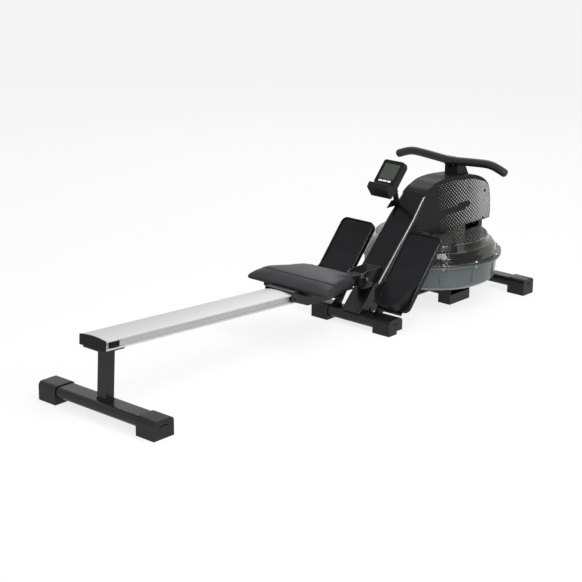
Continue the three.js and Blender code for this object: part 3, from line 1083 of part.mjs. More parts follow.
function addPedals() {
  const plate = plateBlank(0);
  const lipOuter = plateBlank(pedal.lipHeight);
  const middleY = pedal.innerSide + pedal.width / 2;
  const lipInner = block(-pedal.lip, pedal.length + pedal.lip, pedal.innerSide + pedal.lip,
    pedal.innerSide + pedal.width - pedal.lip, -overrun, pedal.lipHeight + overrun);
  const lipBelow = block(-pedal.lip, pedal.length + pedal.lip, 0, 2 * middleY, -2 * pedal.thickness, -overrun);
  const lips = cut(lipOuter, lipInner, lipBelow);
  const ribs = [];
  const ribStart = heelCup.length + heelCup.travel;
  const ribPitch = (pedal.length - ribStart - pedal.cornerRound) / pedal.ribs;
  for (let i = 0; i < pedal.ribs; i += 1) {
    const x = ribStart + i * ribPitch;
    ribs.push(block(x, x + pedal.rib, pedal.innerSide + 4 * pedal.lip, pedal.innerSide + pedal.width - 4 * pedal.lip,
      -overrun / 2, pedal.ribHeight));
  }
  const left = ontoPedal(join(plate, lips, ...ribs));
  // Heel cup: a base with a wall round the heel, which slides up the plate.
  const h = heelCup;
  const innerWidth = pedal.width - 2 * (pedal.lip + h.sideClearance);
  const cupShape = (inset) => {
    const half = innerWidth / 2 - inset;
    const shape = new THREE.Shape();
    shape.moveTo(h.length, -half);
    shape.lineTo(h.length, half);
    shape.lineTo(half - h.drop + inset, half);
    shape.absarc(half - h.drop + inset, 0, half, Math.PI / 2, 1.5 * Math.PI, false);
    return shape;
  };
  const low = gap;
  const cupOuter = asSolid(extruded(cupShape(0), h.height).translate(0, middleY, low));
  const cupInner = asSolid(extruded(cupShape(h.wall), h.height).translate(0, middleY, low + h.base));
  const slope = sideOutline([[h.length / 3, h.height + low + overrun], [h.length + overrun, h.height + low + overrun],
    [h.length + overrun, low + h.base], [h.length * h.slopeShare, low + h.base]], 2 * pedal.width, middleY);
  const frontCut = block(h.length - h.wall, h.length + overrun, 0, 3 * middleY, low + h.base, h.height + 2 * overrun);
  const cup = ontoPedal(cut(cupOuter, cupInner, slope, frontCut));
  addPiece('foot_plate_left', left, blackPlastic);
  addPiece('foot_plate_right', mirrored(left), blackPlastic);
  addPiece('heel_cup_left', cup, blackPlastic);
  addPiece('heel_cup_right', mirrored(cup), blackPlastic);
}

// Welded brackets on the middle foot that carry the plates from below: two webs and a sloping top plate.
function pedalBracketSolids() {
  const b = pedalBracket;
  const low = footTubeTop(midFoot) - footTube.wall / 2;
  // At a share of the plate's length, as far under the plate as depth.
  const underPlate = (share, depth) => {
    const along = share * pedal.length * Math.cos(pedal.angle);
    return [pedalX + along, pedal.bottomHeight + along * Math.tan(pedal.angle)
      - (pedal.thickness + gap + depth) / Math.cos(pedal.angle)];
  };
  const topPlate = [underPlate(b.startShare, 0), underPlate(b.startShare, b.thickness),
    underPlate(b.endShare, b.thickness), underPlate(b.endShare, 0)];
  const web = [[footX.mid - b.footBehind, low], [footX.mid + b.footAhead, low],
    underPlate(b.endShare, b.thickness / 2), underPlate(b.startShare, b.thickness / 2)];
  return bothSides.flatMap(([, sign]) => [
    ...[b.innerSide, b.outerSide].map((y) => sideOutline(web, b.thickness, sign * (y + b.thickness / 2))),
    sideOutline(topPlate, b.topWidth, sign * (b.innerSide + b.topWidth / 2)),
  ]);
}

machine.updateMatrixWorld(true);
addRail();
addRearLeg();
addFoldJoint();
addSeat();
addMainFrame();
addBridge();
addTank();
addDrive();
addCovers();
addHandle();
addDisplay();
addPedals();

// The origin is on the floor under the middle of the whole machine.
const rearEnd = railX(0, -rail.height - endCap.proud);
const frontEnd = footX.front + frontFoot.capDepth / 2;
machine.position.x = -(rearEnd + frontEnd) / 2;
const root = new THREE.Group();
root.add(machine);

export default root;
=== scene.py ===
# Water rowing machine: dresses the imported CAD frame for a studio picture. Blender 4.5, metres, Z up.
import bpy
import bmesh
import json
import random
from math import cos, hypot, pi, radians, sin, sqrt, tan
from mathutils import Matrix, Quaternion, Vector
from mathutils.kdtree import KDTree

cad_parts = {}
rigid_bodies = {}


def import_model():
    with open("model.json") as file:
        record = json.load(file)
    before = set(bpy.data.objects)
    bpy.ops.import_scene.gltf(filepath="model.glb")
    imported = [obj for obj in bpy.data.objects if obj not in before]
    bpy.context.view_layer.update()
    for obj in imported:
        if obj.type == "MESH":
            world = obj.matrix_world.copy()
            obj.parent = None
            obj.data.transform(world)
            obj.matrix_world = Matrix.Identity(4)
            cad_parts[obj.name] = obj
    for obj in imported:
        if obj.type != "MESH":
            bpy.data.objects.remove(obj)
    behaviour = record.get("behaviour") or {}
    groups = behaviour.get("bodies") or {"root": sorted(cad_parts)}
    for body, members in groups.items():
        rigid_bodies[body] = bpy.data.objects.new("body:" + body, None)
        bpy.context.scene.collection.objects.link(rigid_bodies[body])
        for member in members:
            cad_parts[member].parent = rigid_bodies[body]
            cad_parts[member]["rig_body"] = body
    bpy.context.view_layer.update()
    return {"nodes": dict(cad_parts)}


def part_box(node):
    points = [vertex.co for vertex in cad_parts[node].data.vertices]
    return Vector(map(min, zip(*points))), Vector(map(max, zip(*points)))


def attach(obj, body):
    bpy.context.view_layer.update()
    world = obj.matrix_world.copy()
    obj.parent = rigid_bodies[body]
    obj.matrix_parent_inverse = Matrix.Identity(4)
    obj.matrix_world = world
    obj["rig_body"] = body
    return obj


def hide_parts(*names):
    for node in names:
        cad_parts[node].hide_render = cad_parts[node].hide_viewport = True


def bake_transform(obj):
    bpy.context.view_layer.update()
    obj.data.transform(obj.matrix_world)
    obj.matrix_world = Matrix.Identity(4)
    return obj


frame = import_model()
nodes = frame["nodes"]
scene = bpy.context.scene
bothSides = (("left", 1), ("right", -1))
print("stage: frame loaded")


def newObject(name, data):
    made = bpy.data.objects.new(name, data)
    scene.collection.objects.link(made)
    return made


def boxOf(node):
    return [Vector(corner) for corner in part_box(node)]


def circle(count):  # cosine and sine of evenly spread turns
    return [(cos(turn), sin(turn)) for turn in (2 * pi * k / count for k in range(count))]


# Camera: place in metres, angles in degrees.
camera = {"place": (-4.0703, -3.4767, 1.8546), "heading": 41.2288, "pitch": -17.3748, "roll": 0.4965,
          "lens": 101.28, "sensor": 36, "reach": 60}


def addCamera():
    heading, pitch, roll = (radians(camera[key]) for key in ("heading", "pitch", "roll"))
    forward = Vector((cos(heading) * cos(pitch), sin(heading) * cos(pitch), sin(pitch)))
    level = Vector((sin(heading), -cos(heading), 0))
    upright = level.cross(forward)
    right = level * cos(roll) + upright * sin(roll)
    up = upright * cos(roll) - level * sin(roll)
    data = bpy.data.cameras.new("camera")
    data.lens, data.sensor_width, data.clip_end = camera["lens"], camera["sensor"], camera["reach"]
    scene.camera = newObject("camera", data)
    rows = [(right[k], up[k], -forward[k], camera["place"][k]) for k in range(3)]
    scene.camera.matrix_world = Matrix((*rows, (0, 0, 0, 1)))


addCamera()
scene.view_settings.view_transform = "Standard"

# Studio. Each lamp: place, aim, width, height and power.
studio = {"floorSize": 60, "floorDrop": 0.0006, "floorColor": 0.86, "ambient": 0.6, "glow": 0.8,
          "lamps": {"key": ((-1.6, -1.2, 3.2), (0, 0, 0.2), 2.4, 2.4, 34),
                    "fill": ((-1.2, -3.4, 1.6), (0.1, 0, 0.2), 2.2, 1.4, 14),
                    "strip": ((-0.2, -1.85, 2.15), (0.45, 0, 0.3), 0.6, 2.4, 60),
                    "rim": ((2.6, 1.6, 2.4), (0.4, 0, 0.3), 1.8, 1.8, 20)}}


def emptyTree(owner):
    owner.use_nodes = True
    owner.node_tree.nodes.clear()
    return owner.node_tree


def added(tree, kind, sockets=None, operation=None):  # a new node with some of its inputs set
    node = tree.nodes.new(kind)
    if operation:
        node.operation = operation
    for name, value in (sockets or {}).items():
        node.inputs[name].default_value = value
    return node


def linkNodes(tree, *links):
    for source, output, target, socket in links:
        tree.links.new(source.outputs[output], target.inputs[socket])


def seenDirectly(tree):  # 1 for rays that see the backdrop itself or mirrored in the object
    path = added(tree, "ShaderNodeLightPath")
    first, second = (added(tree, "ShaderNodeMath", operation="MAXIMUM") for _ in range(2))
    linkNodes(tree, (path, "Is Camera Ray", first, 0), (path, "Is Glossy Ray", first, 1), (first, 0, second, 0),
              (path, "Is Transmission Ray", second, 1))
    return second


def mixedOutput(tree, kind, factor, first, second):
    mix = added(tree, "ShaderNodeMixShader")
    linkNodes(tree, (factor, 0, mix, 0), (first, 0, mix, 1), (second, 0, mix, 2), (mix, 0, added(tree, kind), 0))


def addStudio():
    white = (1, 1, 1, 1)
    scene.world = bpy.data.worlds.new("studio")
    tree = emptyTree(scene.world)
    light = added(tree, "ShaderNodeBackground", {"Color": white, "Strength": studio["ambient"]})
    backdrop = added(tree, "ShaderNodeBackground", {"Color": white})
    mixedOutput(tree, "ShaderNodeOutputWorld", seenDirectly(tree), light, backdrop)

    finish = bpy.data.materials.new("paleFloor")
    tree = emptyTree(finish)
    matt = added(tree, "ShaderNodeBsdfDiffuse", {"Color": (*[studio["floorColor"]] * 3, 1)})
    glow = added(tree, "ShaderNodeEmission")
    share = added(tree, "ShaderNodeMath", {1: studio["glow"]}, "MULTIPLY")
    linkNodes(tree, (seenDirectly(tree), 0, share, 0))
    mixedOutput(tree, "ShaderNodeOutputMaterial", share, matt, glow)
    half = studio["floorSize"] / 2
    mesh = bpy.data.meshes.new("floor")
    mesh.from_pydata([(x * half, y * half, -studio["floorDrop"]) for x, y in ((-1, -1), (1, -1), (1, 1), (-1, 1))],
                     [], [(0, 1, 2, 3)])
    mesh.materials.append(finish)
    newObject("floor", mesh)

    for name, (place, aim, width, height, power) in studio["lamps"].items():
        data = bpy.data.lights.new(name, "AREA")
        data.shape = "RECTANGLE"
        data.size, data.size_y, data.energy = width, height, power
        lamp = newObject(name, data)
        lamp.location = place
        lamp.rotation_euler = (Vector(aim) - Vector(place)).to_track_quat("-Z", "Y").to_euler()


addStudio()
print("stage: camera and studio")

# Finishes: paler and darker grey, range of roughness, specular, and in metres the grain, its bump and the patches.
finishes = {
    "satinPaint": (0.0075, 0.0055, (0.22, 0.32), 0.28, 0.0009, 0.00004, 0.05),
    "castBlack": (0.008, 0.006, (0.36, 0.5), 0.14, 0.0011, 0.00009, 0.03),
    "grainedPlastic": (0.0075, 0.0055, (0.36, 0.5), 0.13, 0.0012, 0.00006, 0.04),
    "coverPlastic": (0.006, 0.0045, (0.2, 0.29), 0.12, 0.0014, 0.00002, 0.08),
    "polishedEdge": (0.009, 0.007, (0.08, 0.12), 0.9, 0.0014, 0.00001, 0.08),
    "glossPlastic": (0.0045, 0.0035, (0.12, 0.2), 0.12, 0.004, 0.00001, 0.06),
    "footRubber": (0.008, 0.006, (0.3, 0.42), 0.24, 0.0013, 0.00009, 0.03),
    "treadRubber": (0.0075, 0.005, (0.45, 0.6), 0.16, 0.0016, 0.0001, 0.02),
    # Pale grey for the painted highlight along the foot plates' edges.
    "wornEdge": (0.26, 0.06, (0.3, 0.45), 0.4, 0.0016, 0.00005, 0.012),
    "seatVinyl": (0.0135, 0.0105, (0.38, 0.52), 0.22, 0.0017, 0.00012, 0.05),
    "gripFoam": (0.0085, 0.006, (0.36, 0.5), 0.3, 0.001, 0.0002, 0.012),
    "wovenWebbing": (0.0085, 0.0045, (0.7, 0.85), 0.15, 0.0008, 0.0003, 0.002),
    "anodised": (0.48, 0.45, (0.42, 0.54), 0.3, 0.0011, 0.000012, 0.02),
    "zincPlate": (0.52, 0.43, (0.28, 0.42), 0.5, 0.002, 0.00002, 0.01),
    "greyNylon": (0.1, 0.08, (0.45, 0.6), 0.5, 0.001, 0.00003, 0.01),
    "darkNylon": (0.014, 0.01, (0.45, 0.6), 0.2, 0.001, 0.00003, 0.01),
    "silverPlastic": (0.7, 0.62, (0.3, 0.4), 0.5, 0.001, 0.00002, 0.01),
    "latticeGrey": (0.34, 0.27, (0.28, 0.36), 0.3, 0.0008, 0.00001, 0.02),
    "brightBolt": (0.74, 0.62, (0.25, 0.35), 0.5, 0.001, 0.00001, 0.006),
    "darkBolt": (0.012, 0.008, (0.3, 0.42), 0.3, 0.001, 0.00002, 0.006),
    # Near-black for painted shade: the column seam and the cap slots are flat sheets of it.
    "darkRecess": (0.003, 0.002, (0.6, 0.8), 0.05, 0.001, 0.00003, 0.01),
}
# What only some finishes have.
extras = {
    "grainedPlastic": {"cells": True}, "treadRubber": {"cells": True},
    "seatVinyl": {"cells": True, "tint": (1, 1, 1.3)}, "polishedEdge": {"coat": 0.6},
    "anodised": {"metal": 0.4, "stretch": (0.03, 1, 1), "tint": (1, 1, 1.01)},
    "zincPlate": {"metal": 1, "tint": (1, 1, 1.01)}, "latticeGrey": {"metal": 0.3, "tint": (1, 1, 1.03)},
    "brightBolt": {"metal": 1, "tint": (1, 1, 1)}, "darkBolt": {"metal": 0.6}, "wornEdge": {"tint": (1, 1, 1)},
    "greyNylon": {"tint": (1, 1, 1)}, "silverPlastic": {"tint": (1, 1, 1)},
}
rampEnds = (0.3, 0.7)  # places of the darker and the paler grey along the pattern


def objectPattern(tree, size, stretch=(1, 1, 1), kind="ShaderNodeTexNoise", **settings):  # in the piece's metres
    place = added(tree, "ShaderNodeTexCoord")
    mapping = added(tree, "ShaderNodeMapping", {"Scale": stretch})
    texture = added(tree, kind, {"Scale": 1 / size, **settings})
    linkNodes(tree, (place, "Object", mapping, "Vector"), (mapping, "Vector", texture, "Vector"))
    return texture


def newMaterial(name):
    material = bpy.data.materials.new(name)
    tree = emptyTree(material)
    shader = added(tree, "ShaderNodeBsdfPrincipled")
    linkNodes(tree, (shader, 0, added(tree, "ShaderNodeOutputMaterial"), 0))
    materials[name] = material
    return tree, shader


def varied(tree, shader, patches, colors, smudges, rough, grain, bump):  # three textures drive color, rough and bump
    ramp = added(tree, "ShaderNodeValToRGB")
    for element, color, position in zip(ramp.color_ramp.elements, colors, rampEnds):
        element.color = (*color, 1)
        element.position = position
    spread = added(tree, "ShaderNodeMapRange", {"To Min": rough[0], "To Max": rough[1]})
    height = added(tree, "ShaderNodeBump", {"Distance": bump})
    linkNodes(tree, (patches, 0, ramp, 0), (ramp, "Color", shader, "Base Color"), (smudges, 0, spread, "Value"),
              (spread, "Result", shader, "Roughness"), (grain, 0, height, "Height"),
              (height, "Normal", shader, "Normal"))


def makeFinish(name, pale, dark, rough, specular, grain, bump, patch, metal=0, coat=0, cells=False,
               tint=(1, 1, 1.18), stretch=(1, 1, 1)):
    tree, shader = newMaterial(name)
    shader.inputs["Metallic"].default_value = metal
    shader.inputs["Specular IOR Level"].default_value = specular
    shader.inputs["Coat Weight"].default_value = coat
    patches = objectPattern(tree, patch, stretch, Detail=4)
    smudges = objectPattern(tree, patch / 3, stretch, Detail=6, Roughness=0.65)
    texture = (objectPattern(tree, grain, stretch, "ShaderNodeTexVoronoi") if cells
               else objectPattern(tree, grain, stretch, Detail=3))
    colors = [tuple(grey * share for share in tint) for grey in (dark, pale)]
    varied(tree, shader, patches, colors, smudges, rough, texture, bump)


# See-through plastics and the display: color, roughness, index of refraction, and how clear they are. Below them
# the sizes of their streaks, smudges and waves, and the shares between which roughness and color vary.
clearLooks = {
    "smokeClear": ((0.36, 0.345, 0.31), 0.012, 1.3, 1.0),
    "waterClear": ((0.27, 0.305, 0.315), 0.03, 1.3, 0.72),
    "displayGlass": ((0.03, 0.036, 0.027), 0.14, 1.45, 0),
}
clear = {"streak": 0.04, "smudge": 0.012, "wave": 0.09, "roughShares": (0.7, 1.5), "darker": 0.9, "bump": 0.00001}


def makeClear(name, color, rough, ior, clearness):  # with faint streaks and smudges
    tree, shader = newMaterial(name)
    shader.inputs["Transmission Weight"].default_value = clearness
    shader.inputs["IOR"].default_value = ior
    streaks = objectPattern(tree, clear["streak"], (1, 1, 0.25), Detail=3)
    smudges = objectPattern(tree, clear["smudge"], Detail=5)
    waves = objectPattern(tree, clear["wave"], Detail=1)
    low, high = clear["roughShares"]
    varied(tree, shader, streaks, (tuple(part * clear["darker"] for part in color), color), smudges,
           (rough * low, rough * high), waves, clear["bump"])


materials = {}
for look in finishes:
    makeFinish(look, *finishes[look], **extras.get(look, {}))
for look in clearLooks:
    makeClear(look, *clearLooks[look])
print("stage: finishes")


def settled(piece):  # the evaluated mesh takes the place of the modifiers
    bpy.context.view_layer.update()
    evaluated = piece.evaluated_get(bpy.context.evaluated_depsgraph_get())
    mesh = bpy.data.meshes.new_from_object(evaluated)
    piece.modifiers.clear()
    piece.data = mesh
    return piece


def shade(piece, angle=35):
    piece.data.shade_smooth()
    piece.data.set_sharp_from_angle(angle=radians(angle))
    return piece


def modified(piece, kind, **settings):  # shaped by one modifier
    modifier = piece.modifiers.new(kind, kind)
    for key, value in settings.items():
        setattr(modifier, key, value)
    return settled(piece)


def evenNormals(piece):  # flat faces stay flat beside their rounded edges
    return modified(piece, "WEIGHTED_NORMAL", mode="FACE_AREA_WITH_ANGLE", weight=80, keep_sharp=True)


fineBevel = {"segments": 2, "angle": 40}


def bevelled(piece, width, segments=3, angle=30):
    return evenNormals(shade(modified(piece, "BEVEL", width=width, segments=segments, limit_method="ANGLE",
                                      angle_limit=radians(angle), miter_outer="MITER_ARC")))


def mergedShape(node, flatAngle=0.6):
    shape = bmesh.new()
    shape.from_mesh(nodes[node].data)
    bmesh.ops.remove_doubles(shape, verts=shape.verts, dist=2e-6)
    bmesh.ops.dissolve_limit(shape, angle_limit=radians(flatAngle), verts=shape.verts, edges=shape.edges)
    return shape


def cutAcross(shape, point, normal, **how):
    return bmesh.ops.bisect_plane(shape, geom=shape.verts[:] + shape.edges[:] + shape.faces[:], plane_co=point,
                                  plane_no=normal, **how)


def roundedEdges(shape, edges, width, steps, **how):
    return bmesh.ops.bevel(shape, geom=edges, offset=width, segments=steps, profile=0.5, affect="EDGES", **how)


def pieceOf(name, shape, *finishNames):
    mesh = bpy.data.meshes.new(name)
    shape.to_mesh(mesh)
    shape.free()
    for finish in finishNames:
        mesh.materials.append(materials[finish])
    return newObject(name, mesh)


def carried(piece, body, stands=None):  # what every new piece is told about its place in the machine
    if stands:
        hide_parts(stands)
    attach(piece, body)
    return piece


def skinned(name, shape, rows, finish, closed):  # faces between rows of the same number of corners
    count = len(rows[0])
    for row, after in zip(rows, rows[1:] + rows[:1] if closed else rows[1:]):
        for k in range(count):
            corners = list(dict.fromkeys((row[k], row[(k + 1) % count], after[(k + 1) % count], after[k])))
            if len(corners) > 2:
                shape.faces.new(corners)
    if not closed:
        shape.faces.new(rows[0][::-1])
        shape.faces.new(rows[-1])
    bmesh.ops.recalc_face_normals(shape, faces=shape.faces)
    return pieceOf(name, shape, finish)


def lofted(name, rings, finish, closed=False):
    shape = bmesh.new()
    return skinned(name, shape, [[shape.verts.new(point) for point in ring] for ring in rings], finish, closed)


def turned(name, profile, middle, finish, steps):  # a closed profile of (radius, height) turned about an axis
    shape = bmesh.new()
    rows = []
    for radius, height in profile:
        ring = [shape.verts.new((middle[0] + radius * x, middle[1] + radius * y, height))
                for x, y in circle(steps if radius else 1)]
        rows.append(ring if radius else ring * steps)
    return skinned(name, shape, rows, finish, True)


def stacked(name, radius, levels, sides, finish):  # levels: share of the radius, and height
    return lofted(name, [[(radius * share * x, radius * share * y, z) for x, y in circle(sides)]
                         for share, z in levels], finish)


def slab(name, outline, place, depth0, depth1, finish):  # outline of (a, b) pairs; place(a, b, depth) is a point
    return lofted(name, [[place(a, b, depth) for a, b in outline] for depth in (depth0, depth1)], finish)


def sideways(a, b, depth):  # for slabs whose outline is a side view
    return Vector((a, depth, b))


def roundedOutline(width, height, radius, steps=6):  # counter-clockwise, centred on the origin
    points = []
    for k, (x, y) in enumerate(((1, 1), (-1, 1), (-1, -1), (1, -1))):
        for i in range(steps + 1):
            turn = pi / 2 * (k + i / steps)
            points.append((x * (width / 2 - radius) + radius * cos(turn),
                           y * (height / 2 - radius) + radius * sin(turn)))
    return points


def smoothLine(points, steps=6):  # runs smoothly through every point
    line = []
    for i in range(len(points) - 1):
        p0, p1, p2, p3 = (Vector(points[min(max(i + k, 0), len(points) - 1)]) for k in (-1, 0, 1, 2))
        for step in range(steps):
            t = step / steps
            line.append(0.5 * (2 * p1 + (p2 - p0) * t + (2 * p0 - 5 * p1 + 4 * p2 - p3) * t * t
                               + (3 * p1 - 3 * p2 + p3 - p0) * t ** 3))
    return line + [Vector(points[-1])]


def headings(line):  # the way that a line runs at each of its points
    return [line[min(i + 1, len(line) - 1)] - line[max(i - 1, 0)] for i in range(len(line))]


def tube(name, points, radius, finish, sides=8, closed=False):
    points = [Vector(point) for point in points]
    ways = headings(points)
    if closed:
        ways = [after - before for before, after in zip(points[-1:] + points[:-1], points[1:] + points[:1])]
    rings = []
    side = ways[0].normalized().orthogonal().normalized()
    for point, way in zip(points, ways):
        along = way.normalized()
        side = (side - along * side.dot(along)).normalized()
        other = along.cross(side)
        rings.append([point + radius * (side * x + other * y) for x, y in circle(sides)])
    piece = lofted(name, rings, finish, closed)
    piece.data.shade_smooth()
    return piece


def joined(name, pieces):  # one object out of several
    shape = bmesh.new()
    used = []
    for piece in pieces:
        finish = piece.data.materials[0].name
        used += [finish] if finish not in used else []
        for polygon in piece.data.polygons:
            polygon.material_index = used.index(finish)
        shape.from_mesh(piece.data)
        bpy.data.objects.remove(piece)
    return pieceOf(name, shape, *used)


def repeatTree():  # sets a template piece on every point of a mesh, turned and sized by the points' own values
    tree = bpy.data.node_groups.new("repeatOnPoints", "GeometryNodeTree")
    for name, kind, way in (("Spots", "NodeSocketGeometry", "INPUT"), ("Template", "NodeSocketObject", "INPUT"),
                            ("Finish", "NodeSocketMaterial", "INPUT"), ("Pieces", "NodeSocketGeometry", "OUTPUT")):
        tree.interface.new_socket(name, in_out=way, socket_type=kind)
    start, end, info, place, real, dress = (added(tree, kind) for kind in (
        "NodeGroupInput", "NodeGroupOutput", "GeometryNodeObjectInfo", "GeometryNodeInstanceOnPoints",
        "GeometryNodeRealizeInstances", "GeometryNodeSetMaterial"))
    turn, size = (added(tree, "GeometryNodeInputNamedAttribute", {"Name": name}) for name in ("turn", "size"))
    turn.data_type = size.data_type = "FLOAT_VECTOR"
    linkNodes(tree, (start, "Spots", place, "Points"), (start, "Template", info, "Object"),
              (info, "Geometry", place, "Instance"), (turn, "Attribute", place, "Rotation"),
              (size, "Attribute", place, "Scale"), (place, 0, real, 0), (real, 0, dress, 0),
              (start, "Finish", dress, "Material"), (dress, 0, end, 0))
    return tree


repeatOnPoints = repeatTree()


def repeated(name, template, spots):  # spots: place, direction of the template's Z, spin, size
    mesh = bpy.data.meshes.new(name)
    mesh.from_pydata([place for place, *_ in spots], [], [])
    turns, sizes = (mesh.attributes.new(value, "FLOAT_VECTOR", "POINT") for value in ("turn", "size"))
    for i, (_, facing, spin, size) in enumerate(spots):
        spun = Vector(facing).to_track_quat("Z", "Y") @ Quaternion((0, 0, 1), spin)
        turns.data[i].vector = spun.to_euler()
        sizes.data[i].vector = (size, size, size)
    piece = newObject(name, mesh)
    repeat = piece.modifiers.new("repeat", "NODES")
    repeat.node_group = repeatOnPoints
    sockets = {item.name: item.identifier for item in repeatOnPoints.interface.items_tree}
    repeat[sockets["Template"]] = template
    repeat[sockets["Finish"]] = template.data.materials[0]
    return shade(settled(piece))


def scattered(name, template, spots, body):
    carried(repeated(name, template, spots), body)


def retired(*templates):  # templates leave the scene once their repeats are made
    for template in templates:
        bpy.data.objects.remove(template)


# Screw heads: levels of the dished head as shares of its radius and height.
screwHead = {"sides": 20, "levels": ((1, -0.5), (1, 0.45), (0.93, 0.75), (0.75, 1), (0.45, 1), (0.405, 0.35))}


def screwTemplate(name, radius, height):
    levels = [(share, height * up) for share, up in screwHead["levels"]]
    return stacked(name, radius, levels, screwHead["sides"], "darkBolt")


# Pieces that keep the CAD shape, and the width of their rounded edges.
softPieces = {
    "satinPaint": {"rear_leg": 0.0015, "column_tube": 0.003, "front_upright": 0.003, "mid_foot_tube": 0.0015,
                   "front_foot_tube": 0.001, "base_beam": 0.002, "rail_socket": 0.0015, "seat_carriage": 0.0006,
                   "handle_bar": 0.002, "bridge_channel": 0.0008},
    "castBlack": {"rail_knuckle": 0.004},
    "footRubber": {"fill_plug": 0.0015},
    "grainedPlastic": {"handle_cradle": 0.003, "console_arm": 0.0015, "heel_cup_left": 0.0014,
                       "heel_cup_right": 0.0014, "rail_end_cap": 0.0008, "rail_stop_left": 0.0008,
                       "rail_stop_right": 0.0008, "fold_knob": 0.0012},
    "silverPlastic": {"console_button_1": 0.0006, "console_button_2": 0.0006, "console_button_3": 0.0006},
    "anodised": {"rail": 0.0012},
    "zincPlate": {"fold_pin": 0.001},
}
footCap = {"edge": 0.003, "crown": 0.009, "steps": 8, "belowTop": 0.0005, "shortest": 0.02}
plainPieces = {"zincPlate": ["upper_bearing", "impeller_shaft", "one_way_clutch"],
               "greyNylon": ["lower_bearing", "upper_guide_pulley", "lower_guide_pulley"],
               "darkNylon": ["strap_drum", "impeller", *(name for name in nodes if name.startswith("seat_roller"))],
               "footRubber": ["shaft_seal"]}


def crowned(shape):  # a wider rounding along the long upper edges
    top = max(vertex.co.z for vertex in shape.verts) - footCap["belowTop"]
    ridge = [edge for edge in shape.edges if all(vertex.co.z > top for vertex in edge.verts)
             and abs(edge.verts[0].co.y - edge.verts[1].co.y) > footCap["shortest"]]
    roundedEdges(shape, ridge, footCap["crown"], footCap["steps"])
    return shape


def softened(node, shape, finish, width):  # the CAD piece with its edges rounded
    piece = bevelled(pieceOf(node + "_soft", shape, finish), width)
    carried(piece, nodes[node]["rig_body"], stands=node)


for finishName, widths in softPieces.items():
    for nodeName, edgeWidth in widths.items():
        softened(nodeName, mergedShape(nodeName), finishName, edgeWidth)
for footName in ("rear", "mid", "front"):
    for side, _ in bothSides:
        nodeName = footName + "_foot_cap_" + side
        softened(nodeName, crowned(mergedShape(nodeName)), "footRubber", footCap["edge"])
for finishName, nodeNames in plainPieces.items():
    for nodeName in nodeNames:
        nodes[nodeName].data.materials.clear()
        nodes[nodeName].data.materials.append(materials[finishName])
print("stage: rounded pieces")

# Column cover.
column = {"angle": radians(45.5), "edge": 0.007, "edgeSteps": 6, "edgeTop": 0.414, "edgeSide": 0.05,
          "shortest": 0.02, "near": 0.001, "seamHeight": 0.3425, "seamWidth": 0.0007, "seamDepth": (-0.0004, 0.0001)}
coverLow, coverHigh = boxOf("column_cover")
faceNormal = Vector((-sin(column["angle"]), 0, cos(column["angle"])))


def onColumn(z, y=0, out=0.0):  # point on the column cover's face, out from it by a distance
    x = coverLow.x + (z - coverLow.z) / tan(column["angle"])
    return Vector((x, y, z)) + faceNormal * out


def isCoverCorner(edge):  # one of the two long edges between the face and the sides
    a, b = (vertex.co for vertex in edge.verts)
    outer = all(abs(at.y) > column["edgeSide"] and (at - onColumn(at.z, at.y)).length < column["near"]
                for at in (a, b))
    below = max(a.z, b.z) < column["edgeTop"] + column["near"]
    return outer and below and a.y * b.y > 0 and edge.calc_length() > column["shortest"]


def addColumnCover():
    shape = mergedShape("column_cover")
    cutAcross(shape, (0, 0, column["edgeTop"]), (0, 0, 1))
    shape.normal_update()
    corners = [edge for edge in shape.edges if isCoverCorner(edge)]
    rounded = roundedEdges(shape, corners, column["edge"], column["edgeSteps"], clamp_overlap=False)
    for face in rounded["faces"]:
        face.material_index = 1
    piece = pieceOf("column_cover_soft", shape, "coverPlastic", "polishedEdge")
    carried(evenNormals(shade(piece, angle=40)), "frame", stands="column_cover")
    # The seam is a thin near-black strip on the face: painted shade for its groove.
    half = coverHigh.y - column["edge"]
    low, high = column["seamDepth"]
    seam = [[onColumn(column["seamHeight"] + dz, y, out) for y, out in ((-half, low), (half, low), (half, high),
                                                                        (-half, high))]
            for dz in (-column["seamWidth"] / 2, column["seamWidth"] / 2)]
    carried(lofted("column_seam", seam, "darkRecess"), "frame")


addColumnCover()

# Hood: smooth roof, side shields and their lattice. The outlines are shares of the hood's length and height.
hood = {"lowHalf": 0.0645, "highHalf": 0.0469, "wall": 0.003, "sideWall": 0.0032, "gap": 0.0003, "edge": 0.0012,
        "coverGap": 0.0004, "crown": ((-1, 0.0012), (-0.97, 0.0003), (-0.5, 0), (0.5, 0), (0.97, 0.0003), (1, 0.0012)),
        "lower": ((0, 0.234), (0.127, 0.132), (0.304, 0), (0.427, 0.01), (0.613, 0.025), (0.867, 0.015),
                  (0.979, 0.02)),
        "upper": ((0.979, 0.02), (0.994, 0.183), (1, 0.437), (0.987, 0.64), (0.943, 0.766), (0.873, 0.863),
                  (0.774, 0.934), (0.636, 0.97), (0.512, 0.995), (0.389, 1), (0.304, 0.98), (0.243, 0.929),
                  (0.188, 0.878), (0.15, 0.815)),
        "rear": ((0.15, 0.815), (0.132, 0.66), (0.125, 0.497))}
lattice = {"pitch": 0.0172, "rise": 0.0148, "thickness": 0.0003, "sink": 0.0001, "smallest": 0.14, "largest": 0.9,
           "start": 0.32, "full": 0.9, "rim": 0.016, "lowRim": 0.003, "frontRim": 0.002, "rimEnd": (0.84, 1.0),
           "screws": ((0.8446, 0.405), (0.9386, 0.373), (0.9226, 0.277)), "screwHead": (0.0036, 0.0016),
           "screwLift": 0.0004, "screwSpin": 0.3, "screwClear": 0.0062, "bare": ((0.60, 0.331), (0.835, 0.344)),
           "bareRadius": 0.0125}
hoodLow, hoodHigh = boxOf("hood_side_left")
hoodLength, hoodRise = hoodHigh.x - hoodLow.x, hoodHigh.z - hoodLow.z


def onHood(share):
    return hoodLow.x + share[0] * hoodLength, hoodLow.z + share[1] * hoodRise


def hoodHalf(z):
    return hood["lowHalf"] + (z - hoodLow.z) / hoodRise * (hood["highHalf"] - hood["lowHalf"])


